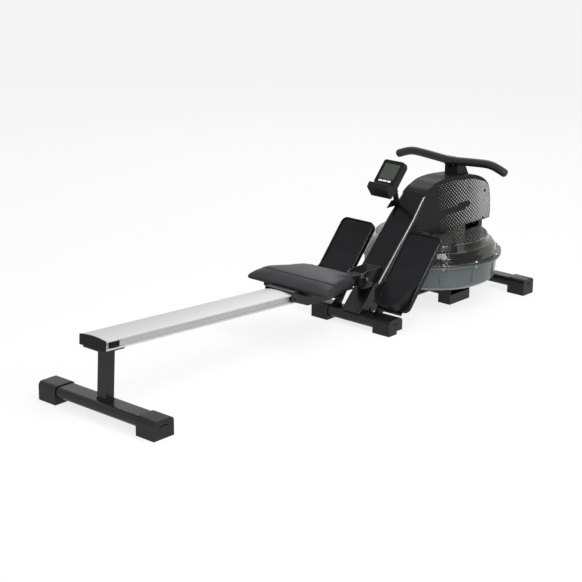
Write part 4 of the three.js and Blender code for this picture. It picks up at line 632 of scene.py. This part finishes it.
def leftOf(way):
    return Vector((-way[1], way[0]))


hoodUpper, hoodLower, hoodRear = (smoothLine([onHood(share) for share in hood[part]], steps)
                                  for part, steps in (("upper", 6), ("lower", 4), ("rear", 4)))
hoodUpper.append(Vector((onColumn(coverHigh.z + hood["coverGap"]).x, coverHigh.z + hood["coverGap"])))
hoodEdge = [tuple(point) for point in hoodLower[:-1] + hoodUpper + hoodRear[1:]]


def addHoodRoof():
    rings = []
    for point, along in zip(hoodUpper, headings(hoodUpper)):
        inward = leftOf(along).normalized()
        half = hoodHalf(point[1]) - hood["sideWall"] - hood["gap"]
        outer = [(side * half, point + inward * drop) for side, drop in hood["crown"]]
        inner = [(side * half, point + inward * hood["wall"]) for side, _ in reversed(hood["crown"])]
        rings.append([Vector((at[0], y, at[1])) for y, at in outer + inner])
    piece = lofted("hood_roof_smooth", rings, "grainedPlastic")
    carried(evenNormals(shade(piece, angle=40)), "frame", "hood_roof")


def insideOutline(x, z, outline):  # an odd number of edges lies ahead of the point
    ahead = [(z0 > z) != (z1 > z) and x < x0 + (z - z0) / (z1 - z0) * (x1 - x0)
             for (x0, z0), (x1, z1) in zip(outline, outline[1:] + outline[:1])]
    return sum(ahead) % 2 == 1


def gapToEdge(x, z, line):  # shortest distance from a point to a line of points
    here = Vector((x, z))
    best = 1.0
    for a, b in zip(line, line[1:]):
        a, b = Vector(a), Vector(b)
        t = max(0, min(1, (here - a).dot(b - a) / max((b - a).length_squared, 1e-12)))
        best = min(best, (a + (b - a) * t - here).length)
    return best


def rimAt(x):  # the plain border under the roof runs out towards the front
    low, high = lattice["rimEnd"]
    share = min(1, max(0, ((x - hoodLow.x) / hoodLength - low) / (high - low)))
    return lattice["rim"] + share * (lattice["frontRim"] - lattice["rim"])


def hasDiamond(x, z, share):
    gap = gapToEdge(x, z, hoodUpper)
    reach = lattice["rise"] / 2
    if share < lattice["start"] or not (insideOutline(x, z, hoodEdge) or gap < reach):
        return False
    if gap < rimAt(x) - reach and share < lattice["rimEnd"][0]:
        return False
    if gapToEdge(x, z, lattice["bare"]) < lattice["bareRadius"]:
        return False
    return all(hypot(x - sx, z - sz) >= lattice["screwClear"] for sx, sz in lattice["screws"])


def latticeSpots(sign, facing):  # diamonds grow from the column towards the front
    spots = []
    for row in range(int(hoodRise / lattice["rise"] * 2) + 2):
        z = hoodLow.z + row * lattice["rise"] / 2
        for place in range(int(hoodLength / lattice["pitch"]) + 2):
            x = hoodLow.x + (place + row % 2 / 2) * lattice["pitch"]
            share = (x - hoodLow.x) / hoodLength
            if not hasDiamond(x, z, share):
                continue
            grown = (share - lattice["start"]) / (lattice["full"] - lattice["start"])
            size = lattice["smallest"] + min(1, grown) * (lattice["largest"] - lattice["smallest"])
            y = sign * (hoodHalf(z) + lattice["thickness"] / 2 - lattice["sink"])
            spots.append(((x, y, z), facing, 0, size))
    return spots


def trimmedLattice(piece):  # the outermost diamonds are cut along the border
    shape = bmesh.new()
    shape.from_mesh(piece.data)
    front = [point for point in hoodUpper if point.x > hoodLow.x + lattice["start"] * hoodLength]
    cuts = [(a, b, rimAt(a.x)) for a, b in zip(front, front[1:]) if (b - a).length > 1e-5]
    lowA, lowB = (Vector(onHood(hood["lower"][k])) for k in (2, -1))
    cuts.append((lowA, lowB, lattice["lowRim"]))
    for a, b, rim in cuts:
        inward = leftOf((b - a).normalized())
        point = a + inward * rim
        cut = cutAcross(shape, (point.x, 0, point.y), (-inward.x, 0, -inward.y), clear_outer=True)
        edges = [item for item in cut["geom_cut"] if isinstance(item, bmesh.types.BMEdge) and item.is_boundary]
        bmesh.ops.holes_fill(shape, edges=edges)
    shape.to_mesh(piece.data)
    shape.free()
    return piece


def addHoodSides():
    a, b, t = lattice["pitch"] / 2, lattice["rise"] / 2, lattice["thickness"] / 2
    diamond = lofted("lattice_template", [[(a, 0, z), (0, b, z), (-a, 0, z), (0, -b, z)] for z in (-t, t)],
                     "latticeGrey")
    screw = screwTemplate("shield_screw_template", *lattice["screwHead"])
    for side, sign in bothSides:
        piece = slab("hood_side_" + side + "_smooth", hoodEdge,
                     lambda a, b, depth: Vector((a, sign * (hoodHalf(b) + depth), b)), 0, -hood["sideWall"],
                     "glossPlastic")
        carried(bevelled(piece, hood["edge"], segments=2, angle=50), "frame",
                "hood_side_" + side)
        facing = Vector((0, sign, (hood["lowHalf"] - hood["highHalf"]) / hoodRise)).normalized()
        diamonds = repeated("shield_lattice_" + side, diamond, latticeSpots(sign, facing))
        carried(trimmedLattice(diamonds), "frame")
        screws = [((x, sign * (hoodHalf(z) + lattice["screwLift"]), z), facing, lattice["screwSpin"] * i, 1)
                  for i, (x, z) in enumerate(lattice["screws"])]
        scattered("shield_screws_" + side, screw, screws, "frame")
    retired(diamond, screw)


addHoodRoof()
addHoodSides()
print("stage: covers")

# Display. The ledge's points are places from the lower edge of the face, as seen from the side.
display = {"top": (0.45164, 0.562), "angle": radians(48.3), "length": 0.0977, "width": 0.09, "depth": 0.03,
           "recess": 0.0022, "sink": 0.0002, "inset": 0.002, "back": 0.01, "round": 0.009, "windowTop": 0.014,
           "windowWidth": 0.066, "windowLength": 0.062, "windowRound": 0.003, "pane": (0.0019, 0.0009),
           "ledge": ((-0.017, -0.001), (-0.021, 0.007), (-0.025, 0.007), (-0.037, -0.011), (-0.010, -0.048)),
           "edge": 0.0028, "fineEdge": 0.0006, "paneEdge": 0.0003, "ear": 0.0055, "earStart": 0.0123,
           "earTop": 0.049, "earDepth": 0.015, "tiltRadius": 0.008, "tiltSteps": 24, "tilt": (0.44364, 0.452),
           "screwHead": (0.0024, 0.001), "screwRows": (0.02, 0.08), "screwSide": 0.034, "screwSpin": 0.4}


def onDisplay(down, y, depth):  # down the face from its top edge, across it, and into the case
    turn = display["angle"]
    return Vector((display["top"][0] - cos(turn) * down + sin(turn) * depth, y,
                   display["top"][1] - sin(turn) * down - cos(turn) * depth))


def convexOutline(points):
    points = sorted(set(points))
    lines = []
    for run in (points, points[::-1]):
        line = []
        for p in run:
            while len(line) > 1 and ((line[-1][0] - line[-2][0]) * (p[1] - line[-2][1])
                                     - (line[-1][1] - line[-2][1]) * (p[0] - line[-2][0])) <= 0:
                line.pop()
            line.append(p)
        lines += line[:-1]
    return lines


def addDisplay():
    d = display
    sideView = lambda down, depth: tuple(onDisplay(down, 0, depth).xz)
    lowX, lowZ = sideView(d["length"], 0)
    profile = [sideView(d["inset"], d["recess"]), sideView(d["length"], d["recess"])]
    profile += [(lowX + x, lowZ + z) for x, z in d["ledge"]]
    profile += [sideView(d["length"] + d["back"], d["depth"]), sideView(d["back"], d["depth"]),
                sideView(0, d["depth"] - d["back"])]
    parts = [bevelled(slab("console_body", profile, sideways, -d["width"] / 2, d["width"] / 2, "grainedPlastic"),
                      d["edge"], angle=25)]
    outer = roundedOutline(d["length"], d["width"], d["round"])
    window = roundedOutline(d["windowLength"], d["windowWidth"], d["windowRound"])
    middle, windowMiddle = d["length"] / 2, d["windowTop"] + d["windowLength"] / 2
    inside = d["recess"] + d["sink"]
    rings = [[onDisplay(start + a, b, depth) for a, b in outline] for start, outline, depth in (
        (middle, outer, inside), (middle, outer, 0), (windowMiddle, window, 0), (windowMiddle, window, inside))]
    parts.append(bevelled(lofted("console_bezel", rings, "glossPlastic", True), d["fineEdge"], **fineBevel))
    hinge = [(d["tilt"][0] + d["tiltRadius"] * x, d["tilt"][1] + d["tiltRadius"] * z)
             for x, z in circle(d["tiltSteps"])]
    hinge += [sideView(d["earTop"], d["earDepth"]), sideView(d["length"], d["earDepth"])]
    outline = convexOutline(hinge)
    for _, sign in bothSides:
        ear = slab("ear", outline, sideways, sign * d["earStart"], sign * (d["earStart"] + d["ear"]),
                   "grainedPlastic")
        parts.append(bevelled(ear, d["fineEdge"], **fineBevel))
    carried(joined("console_case_fine", parts), "console", "console_case")

    pane = slab("console_pane", window, lambda a, b, depth: onDisplay(windowMiddle + a, b, depth), *d["pane"],
                "displayGlass")
    carried(bevelled(pane, d["paneEdge"], **fineBevel), "console", "console_screen")
    screw = screwTemplate("case_screw_template", *d["screwHead"])
    back = (onDisplay(0, 0, 1) - onDisplay(0, 0, 0)).normalized()
    spots = [(onDisplay(down, sign * d["screwSide"], d["depth"] + d["sink"]), back, d["screwSpin"], 1)
             for down in d["screwRows"] for _, sign in bothSides]
    scattered("console_case_screws", screw, spots, "console")
    retired(screw)


addDisplay()
print("stage: display")

# Foot plates.
plate = {"start": (0.24959, 0.092), "angle": radians(48.9), "length": 0.2998, "width": 0.148, "inner": 0.077,
         "thickness": 0.016, "corner": 0.022, "cornerSteps": 8, "pad": 0.0004, "edge": 0.0015, "lip": 0.005,
         "lipHeight": 0.004, "lipStart": 0.03, "lipSink": 0.7, "lipEdge": 0.0012, "studPitch": 0.0056,
         "studSize": 0.0042, "studHeight": 0.0009, "studTop": 0.45, "studSink": 0.0006, "studFrom": 0.17,
         "studTo": 0.283, "studSide": 0.056, "highlightFrom": 0.05, "highlightTo": 0.277, "highlightRadius": 0.0006,
         "highlightSink": 0.0002}


def onPlate(along, y, out):
    turn = plate["angle"]
    return Vector((plate["start"][0] + cos(turn) * along - sin(turn) * out, y,
                   plate["start"][1] + sin(turn) * along + cos(turn) * out))


def addFootPlates():
    p = plate
    half, middle = p["length"] / 2, p["inner"] + p["width"] / 2
    perCorner = p["cornerSteps"] + 1
    outlines = [roundedOutline(p["length"] - 2 * less, p["width"] - 2 * less, p["corner"] - tighter, p["cornerSteps"])
                for less, tighter in ((p["pad"], 0), (0, 0), (p["lip"], p["lip"]))]
    rims = []  # the lip is open at the heel
    for points, side in zip(outlines[1:], (p["width"] / 2, p["width"] / 2 - p["lip"])):
        ends = [(p["lipStart"] - half, -side), (p["lipStart"] - half, side)]
        rims.append(ends[:1] + points[3 * perCorner:] + points[:perCorner] + ends[1:])
    stud = stacked("stud_template", p["studSize"] / 2, ((1, 0), (p["studTop"], p["studHeight"])), sides=4,
                   finish="treadRubber")
    facing = onPlate(0, 0, 1) - onPlate(0, 0, 0)
    low, high = -p["thickness"] * p["lipSink"], p["lipHeight"]
    for side, sign in bothSides:
        place = lambda a, b, out: onPlate(half + a, sign * (middle + b), out)
        parts = [bevelled(slab("plate", outlines[0], place, -p["thickness"], -p["pad"], "grainedPlastic"),
                          p["edge"], **fineBevel)]
        rings = [[place(*a, low), place(*a, high), place(*b, high), place(*b, low)] for a, b in zip(*rims)]
        parts.append(bevelled(lofted("lip", rings, "coverPlastic"), p["lipEdge"], angle=50))
        # Thin pale tubes along both long edges of the plate: a painted highlight on the edges.
        for edge in (1, -1):
            line = [place(along - half, edge * (p["width"] / 2 - p["highlightRadius"]), p["lipHeight"] - p["highlightSink"])
                    for along in (p["highlightFrom"], p["highlightTo"])]
            parts.append(tube("worn", line, p["highlightRadius"], "wornEdge", sides=6))
        carried(joined("foot_plate_" + side + "_fine", parts), "frame", "foot_plate_" + side)
        spots = []
        reach = int(p["studSide"] / p["studPitch"]) + 1
        for row in range(int((p["studTo"] - p["studFrom"]) / p["studPitch"] * 2)):
            along = p["studFrom"] + row * p["studPitch"] / 2
            for across in ((k + (row % 2) / 2) * p["studPitch"] for k in range(-reach, reach)):
                if abs(across) <= p["studSide"]:
                    spots.append((onPlate(along, sign * (middle + across), -p["studSink"]), facing, 0, 1))
        scattered("foot_plate_studs_" + side, stud, spots, "frame")
    retired(stud)


addFootPlates()
print("stage: foot plates")

# Tank. Profiles run round the walls as radius and height.
tank = {"steps": 128, "bowl": ((0, 0.096), (0.225, 0.096), (0.24, 0.108), (0.246, 0.18285), (0.26, 0.18285),
                               (0.26, 0.18985), (0.242, 0.18985), (0.236, 0.108), (0.221, 0.1), (0.0173, 0.1),
                               (0.0173, 0.111), (0.0143, 0.111), (0.0143, 0.1), (0, 0.1)),
        "dome": ((0.242, 0.19015), (0.26, 0.19015), (0.26, 0.19715), (0.244, 0.19715), (0.24, 0.216),
                 (0.226, 0.234), (0.213, 0.238), (0.209, 0.255), (0.205, 0.259), (0.022, 0.259), (0.02, 0.264),
                 (0.0123, 0.264), (0.0123, 0.255), (0.201, 0.255), (0.207, 0.234), (0.222, 0.23), (0.234, 0.212),
                 (0.238, 0.19715)),
        "hole": ((0, 0.24), (0.0153, 0.24), (0.0153, 0.28), (0, 0.28)), "holeSteps": 40, "edge": 0.0018,
        "ribs": 12, "ribRadius": 0.2435, "ribShift": 0.0005, "ribWidth": 0.004, "ribDepth": 0.007, "ribLow": 0.12,
        "ribHigh": 0.1835, "ribEdge": 0.0012, "bolts": 12, "boltRadius": 0.2535, "boltStart": -103.2,
        "boltHeights": ((0.1971, 1), (0.1829, -1)), "head": 0.0046, "headLevels": ((1, 0), (1, 0.0034),
                                                                                  (0.82, 0.0042))}


def addTank():
    low, high = boxOf("tank_bowl")
    middle = ((low.x + high.x) / 2, 0)
    bowl, dome = (turned("tank_" + part + "_clear", tank[part], middle, finish, tank["steps"])
                  for part, finish in (("bowl", "waterClear"), ("dome", "smokeClear")))
    for wall in (bowl, dome):
        bevelled(wall, tank["edge"], segments=2, angle=25)
    carried(bowl, "frame", "tank_bowl")
    low, high = boxOf("fill_plug")
    cutter = turned("plug_cutter", tank["hole"], (low + high) / 2, "smokeClear", tank["holeSteps"])
    shade(modified(dome, "BOOLEAN", object=cutter, solver="EXACT"), angle=25)
    retired(cutter)
    carried(dome, "frame", "tank_dome")

    section = [(x * tank["ribDepth"] / 2, y * tank["ribWidth"] / 2) for x, y in ((1, 1), (-1, 1), (-1, -1), (1, -1))]
    rib = slab("rib_template", section, lambda a, b, z: (a, b, z), tank["ribLow"], tank["ribHigh"], "waterClear")
    bevelled(rib, tank["ribEdge"], **fineBevel)
    turns = [2 * pi * (i + 0.5) / tank["ribs"] for i in range(tank["ribs"])]
    spots = [((middle[0] + (tank["ribRadius"] + tank["ribShift"]) * cos(turn), tank["ribRadius"] * sin(turn), 0),
              (0, 0, 1), turn, 1) for turn in turns]
    scattered("tank_ribs", rib, spots, "frame")
    head = stacked("bolt_template", tank["head"], tank["headLevels"], sides=6, finish="brightBolt")
    turns = [radians(tank["boltStart"] + 360 / tank["bolts"] * i) for i in range(tank["bolts"])]
    spots = [((middle[0] + tank["boltRadius"] * cos(turn), tank["boltRadius"] * sin(turn), z), (0, 0, way), turn, 1)
             for turn in turns for z, way in tank["boltHeights"]]
    scattered("tank_flange_bolts", head, spots, "frame")
    retired(rib, head)


addTank()
print("stage: tank")

# Seat cushion. Each level: height, inset of the plan, and the share of the flare that it still has.
cushion = {"rearHalf": 0.167, "frontHalf": 0.1, "flare": 0.0165, "rearFlare": 0.06, "corner": 0.03, "points": 144,
           "rearInset": 0.001, "frontInset": 0.009, "frontFlare": 0.5, "cornerFlare": 0.45, "cornerSteps": 10,
           "cornerLimits": (0.8, 0.45), "slope": radians(3.25), "seamHeight": 0.0268, "voxel": 0.0045,
           "pressure": 4.0, "frames": 20, "stiff": 30, "bend": 2, "pinned": 0.006, "cap": 0.006,
           "seamDepth": 0.0016, "seamReach": 0.0042, "seamSteps": 4, "seamGrow": 0.001, "sideSeams": (-0.0975, 0.0975),
           "rearLevels": slice(4, 10), "rearSteps": 8, "piping": 0.0011, "pipingGrow": 0.0024,
           "pipingRise": 0.0016, "pipingOut": 0.4, "fill": 0.6,
           "levels": ((0.0006, -0.012, 1), (-0.0055, -0.0105, 1), (-0.0075, -0.006, 1), (-0.007, -0.0015, 1),
                      (-0.0045, 0, 1), (0.0026, 0, 0.98), (0.009, 0, 0.85), (0.0165, 0, 0.58),
                      (0.0225, 0, 0.26), (0.0265, 0, 0), (0.0296, -0.005, 0), (0.0313, -0.014, 0),
                      (0.0327, -0.03, 0), (0.0335, -0.048, 0), (0.034, -0.064, 0))}
seatLow, seatHigh = boxOf("seat_cushion")


def sloped(low, high, x, height):  # height above the slanted lower face of a piece of the seat
    return low.z + height + (high.x - x) * tan(cushion["slope"])


def cushionPlan(grow, flare):  # the plan's outline with rounded corners
    c = cushion
    rear = seatLow.x + c["rearFlare"] * (1 - flare) - grow + c["rearInset"]
    front = seatHigh.x - c["frontInset"] + c["frontFlare"] * flare * c["flare"] + grow
    taper = (c["rearHalf"] - c["frontHalf"]) / (seatHigh.x - seatLow.x - c["rearFlare"])
    aside = hypot(1, taper)  # keeps the slanted sides parallel when the plan grows
    rearHalf = c["rearHalf"] + grow * (aside + taper) + flare * c["flare"]
    frontHalf = c["frontHalf"] + grow * (aside - taper) + flare * c["flare"]
    corners = [Vector((rear, -rearHalf)), Vector((front, -frontHalf)), Vector((front, frontHalf)),
               Vector((rear, rearHalf))]
    across, along = c["cornerLimits"]  # shares of the plan that a corner may take
    radius = min(c["corner"] * (1 - c["cornerFlare"] * flare), frontHalf * across, (front - rear) * along)
    line = []
    for before, here, after in zip(corners[-1:] + corners[:-1], corners, corners[1:] + corners[:1]):
        start, end = (here + (other - here).normalized() * radius for other in (before, after))
        line += [start * (1 - t) ** 2 + here * 2 * t * (1 - t) + end * t * t
                 for t in (k / c["cornerSteps"] for k in range(c["cornerSteps"] + 1))]
    return line + line[:1]


def cushionRing(grow, flare, height):  # evenly spread points along the plan, on the seat's slope
    line = cushionPlan(grow, flare)
    lengths = [0]
    for a, b in zip(line, line[1:]):
        lengths.append(lengths[-1] + (b - a).length)
    ring, k = [], 0
    for i in range(cushion["points"]):
        goal = lengths[-1] * i / cushion["points"]
        while lengths[k + 1] < goal:
            k += 1
        at = line[k].lerp(line[k + 1], (goal - lengths[k]) / max(lengths[k + 1] - lengths[k], 1e-9))
        ring.append(Vector((at.x, at.y, sloped(seatLow, seatHigh, at.x, height))))
    return ring


def inflated(piece):  # the pad swells as stuffed cloth over its fixed base
    modified(piece, "REMESH", mode="VOXEL", voxel_size=cushion["voxel"])
    rest = [vertex.co.copy() for vertex in piece.data.vertices]
    pinned = piece.vertex_groups.new(name="pinned")
    pinned.add([i for i, point in enumerate(rest)
                if point.z - sloped(seatLow, seatHigh, point.x, 0) < cushion["pinned"]], 1, "REPLACE")
    cloth = piece.modifiers.new("cloth", "CLOTH")
    cloth.settings.use_pressure = True
    cloth.settings.uniform_pressure_force = cushion["pressure"]
    cloth.settings.vertex_group_mass = "pinned"
    cloth.settings.tension_stiffness = cloth.settings.compression_stiffness = cushion["stiff"]
    cloth.settings.bending_stiffness = cushion["bend"]
    cloth.settings.effector_weights.gravity = 0
    cloth.point_cache.frame_end = cushion["frames"]
    for frameNumber in range(1, cushion["frames"] + 1):
        scene.frame_set(frameNumber)
    settled(piece)
    scene.frame_set(1)
    for vertex, point in zip(piece.data.vertices, rest):
        move = vertex.co - point
        if move.length > cushion["cap"]:
            vertex.co = point + move.normalized() * cushion["cap"]
    piece.vertex_groups.clear()


def pressedSeams(piece, seams):  # sewn channels, pressed in along lines of points
    near = KDTree(sum(len(line) for line in seams))
    for i, point in enumerate(point for line in seams for point in line):
        near.insert(point, i)
    near.balance()
    normals = [vertex.normal.copy() for vertex in piece.data.vertices]
    for vertex, normal in zip(piece.data.vertices, normals):
        distance = near.find(vertex.co)[2]
        if distance < cushion["seamReach"]:
            vertex.co -= normal * cushion["seamDepth"] * (1 - (distance / cushion["seamReach"]) ** 2) ** 2


def addCushion():
    rings = [cushionRing(grow, flare, z) for z, grow, flare in cushion["levels"]]
    piece = lofted("seat_cushion_padded", rings, "seatVinyl")
    inflated(piece)
    modified(piece, "SUBSURF", levels=1, render_levels=1)
    loop = cushionRing(cushion["seamGrow"], 0, cushion["seamHeight"])
    steps = cushion["seamSteps"]
    seams = [[a.lerp(b, k / steps) for a, b in zip(loop, loop[1:] + loop[:1]) for k in range(steps)]]
    rear = smoothLine([(seatLow.x + cushion["rearFlare"] * (1 - flare), height)
                       for height, _, flare in cushion["levels"][cushion["rearLevels"]]], cushion["rearSteps"])
    for y in cushion["sideSeams"]:
        seams.append([Vector((x, y, sloped(seatLow, seatHigh, x, height))) for x, height in rear])
    pressedSeams(piece, seams)
    shade(piece, angle=60)
    bpy.context.view_layer.update()
    line = []
    for point in cushionRing(cushion["pipingGrow"], 0, cushion["seamHeight"] + cushion["pipingRise"]):
        _, at, outward, _ = piece.closest_point_on_mesh(point)
        line.append(at + outward * cushion["piping"] * cushion["pipingOut"])
    carried(tube("seat_piping", line, cushion["piping"], "seatVinyl", closed=True), "seat")
    carried(piece, "seat", "seat_cushion")


addCushion()
print("stage: seat cushion")

# Seat shell. Side view of the shell's wings: place along the seat, and height above the tray's lower face.
shell = {"inner": 0.063, "outer": 0.1, "edge": 0.002, "trayEdge": 0.001,
         "wing": ((-0.131, 0.001), (-0.131, -0.0135), (-0.1, -0.0155), (-0.02, -0.012), (0.05, -0.003), (0.06, 0.001))}


def addSeatShell():
    pieces = [bevelled(pieceOf("seat_tray", mergedShape("seat_base"), "grainedPlastic"), shell["trayEdge"])]
    box = boxOf("seat_base")
    outline = [(x, sloped(*box, x, height)) for x, height in shell["wing"]]
    for _, sign in bothSides:
        wing = slab("wing", outline, sideways, sign * shell["inner"], sign * shell["outer"], "grainedPlastic")
        pieces.append(bevelled(wing, shell["edge"], angle=25))
    carried(joined("seat_base_shell", pieces), "seat", "seat_base")


addSeatShell()
print("stage: seat shell")

# Handle grips. Places along one grip from the collar outwards: side, height above the collar's middle.
grip = {"radius": 0.0153, "belowTop": 0.0275, "dome": 0.011, "domeSteps": 8, "domeOpen": 0.3, "domeBlunt": 0.8,
        "sides": 40, "line": ((0.0195, 0.0014), (0.07, 0.0054), (0.12, 0.0091), (0.15, 0.0108), (0.172, 0.0107),
                              (0.195, 0.0068), (0.218, -0.0006), (0.2395, -0.0089))}


def addGrips():
    for side, sign in bothSides:
        low, high = boxOf("handle_grip_" + side)
        middle, base = (low.x + high.x) / 2, high.z - grip["belowTop"]
        path = [Vector((middle, sign * y, base + z)) for y, z in smoothLine(grip["line"])]
        rings = [(point, way.normalized(), 1) for point, way in zip(path, headings(path))]
        point, along, _ = rings[-1]
        for k in range(1, grip["domeSteps"] + 1):
            turn = pi / 2 * k / (grip["domeSteps"] + grip["domeOpen"])
            rings.append((point + along * grip["dome"] * sin(turn), along, cos(turn) ** grip["domeBlunt"]))
        skin = []
        for point, along, share in rings:
            up = Vector((0, -along.z, along.y)).normalized() * (1 if along.y > 0 else -1)
            skin.append([point + grip["radius"] * share * (Vector((x, 0, 0)) + up * y)
                         for x, y in circle(grip["sides"])])
        piece = lofted("handle_grip_" + side + "_round", skin, "gripFoam")
        carried(shade(piece, angle=50), "handle", "handle_grip_" + side)


addGrips()
print("stage: handle grips")

# Strap and return cord. The strap is cut across at even steps between leave and arrive.
strap = {"leave": (0.812, 0, 0.478), "arrive": (0.80303, 0, 0.49353), "cuts": 10}
cord = {"radius": 0.003, "height": 0.3, "spool": (0.6846, -0.0189), "guide": (0.58868, 0.012), "bend": 0.027,
        "anchor": 0.9233, "steps": 12, "sides": 12}


def addStrap():
    shape = mergedShape("pull_strap", 0.01)
    start, end = Vector(strap["leave"]), Vector(strap["arrive"])
    for k in range(strap["cuts"] + 1):
        cutAcross(shape, start.lerp(end, k / strap["cuts"]), (end - start).normalized())
    piece = shade(pieceOf("pull_strap_woven", shape, "wovenWebbing"))
    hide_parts("pull_strap")
    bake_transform(piece)


def addReturnCord():
    x, y = cord["guide"]
    turns = [-pi / 2 - pi * i / cord["steps"] for i in range(cord["steps"] + 1)]
    path = [cord["spool"], *((x + cord["bend"] * cos(turn), y + cord["bend"] * sin(turn)) for turn in turns),
            (cord["anchor"], y + cord["bend"])]
    path = [Vector((*point, cord["height"])) for point in path]
    carried(tube("return_cord_round", path, cord["radius"], "wovenWebbing", cord["sides"]), "frame",
            "return_cord")


addStrap()
addReturnCord()
print("stage: strap and cord")

# Screws and bolts. Heads are a radius and a height, and spins turn the heads about their axes.
bolts = {"columnHead": (0.0026, 0.0012), "columnLift": 0.0002,
         "column": ((0.3861, 0.0092), (0.3671, 0.0307), (0.3681, -0.0186)), "head": (0.0042, 0.0024),
         "axleSide": 0.0618, "stopSide": 0.0566, "stopShares": (0.3, 0.72), "stopSlope": 0.0015, "stopSize": 0.8,
         "railPlaces": (-0.975, -0.93), "railMiddle": -0.95, "railHeight": 0.2228, "railSlope": 0.057,
         "railSide": 0.03, "uprightPlaces": ((0.957, 0.06), (0.957, 0.33)), "uprightSide": 0.0302,
         "uprightSize": 1.2, "columnSpin": 0.5, "axleSpin": 0.2, "stopSpin": 0.1, "railSpin": 0.3}
# Weld beads round a rectangle: its ends along X, half width, height and body.
welds = {"radius": 0.0017, "wobble": 0.0005, "pace": 0.003, "seed": 7, "sides": 7,
         "beads": {"post_weld_low": (-0.969, -0.934, 0.021, 0.0585, "rail"),
                   "upright_weld": (0.944, 0.97, 0.031, 0.0592, "frame")}}
# Slots in the outer faces of the foot caps: share of the cap's height, share of the slot's length, and body.
slots = {"length": 0.04, "width": 0.0042, "height": 0.7, "sag": 0.02, "steps": 12, "narrowest": 0.04, "blunt": 6,
         "depth": (-0.0005, 0.00012), "feet": {"rear": (1, "rail"), "mid": (0.55, "frame"), "front": (0.55, "frame")}}


def addBolts():
    b = bolts
    columnScrew = screwTemplate("column_screw_template", *b["columnHead"])
    boss = screwTemplate("axle_bolt_template", *b["head"])
    spots = [(onColumn(z, y, b["columnLift"]), faceNormal, b["columnSpin"] * i, 1)
             for i, (z, y) in enumerate(b["column"])]
    scattered("column_screws", columnScrew, spots, "frame")

    spots = []
    for node in nodes:
        if node.startswith("seat_roller"):
            low, high = boxOf(node)
            middle = (low + high) / 2
            side = 1 if middle.y > 0 else -1
            spots.append(((middle.x, side * b["axleSide"], middle.z), (0, side, 0), b["axleSpin"], 1))
    scattered("carriage_axle_bolts", boss, spots, "seat")
    spots = []
    for side, sign in bothSides:
        low, high = boxOf("rail_stop_" + side)
        for share in b["stopShares"]:
            x, z = low.x + (high.x - low.x) * share, (low.z + high.z) / 2 - (share - 0.5) * b["stopSlope"]
            spots.append(((x, sign * b["stopSide"], z), (0, sign, 0), b["stopSpin"], b["stopSize"]))
    spots += [((x, sign * b["railSide"], b["railHeight"] - (x - b["railMiddle"]) * b["railSlope"]), (0, 0, -1),
               b["railSpin"], 1) for x in b["railPlaces"] for _, sign in bothSides]
    scattered("rail_screws", boss, spots, "rail")
    spots = [((x, sign * b["uprightSide"], z), (0, sign, 0), b["axleSpin"], b["uprightSize"])
             for x, z in b["uprightPlaces"] for _, sign in bothSides]
    scattered("upright_bolts", boss, spots, "frame")
    retired(columnScrew, boss)


def addWelds():  # with the ripple of a hand weld
    for name, (x0, x1, half, z, body) in welds["beads"].items():
        random.seed(welds["seed"])
        corners = [Vector((x, y, z)) for x, y in ((x0, -half), (x1, -half), (x1, half), (x0, half))]
        path = []
        for a, b in zip(corners, corners[1:] + corners[:1]):
            steps = max(2, int((b - a).length / welds["pace"]))
            path += [a.lerp(b, k / steps) + Vector([random.uniform(-1, 1) * welds["wobble"] for _ in range(3)])
                     for k in range(steps)]
        bead = tube(name, path, welds["radius"], "satinPaint", welds["sides"], closed=True)
        carried(bead, body)


def addCapSlots():
    for prefix, (share, body) in slots["feet"].items():
        for side, sign in bothSides:
            low, high = boxOf(prefix + "_foot_cap_" + side)
            endY = high.y if sign > 0 else low.y
            length = slots["length"] * share
            rows = []
            for s in (k / slots["steps"] - 0.5 for k in range(slots["steps"] + 1)):
                rise = low.z + slots["height"] * (high.z - low.z) - slots["sag"] * s * s * length / slots["length"]
                half = slots["width"] / 2 * sqrt(max(slots["narrowest"], 1 - (2 * s) ** slots["blunt"]))
                rows.append(((low.x + high.x) / 2 + s * length, rise, half))
            outline = [(x, z + h) for x, z, h in rows] + [(x, z - h) for x, z, h in reversed(rows)]
            # Each slot is a thin near-black slab on the cap's end face: painted shade for the hollow of the slot.
            piece = slab(prefix + "_cap_slot_" + side, outline, lambda a, b, depth: Vector((a, endY + depth, b)),
                         *(depth * sign for depth in slots["depth"]), "darkRecess")
            carried(piece, body)


addBolts()
addWelds()
addCapSlots()
print("stage: fittings")
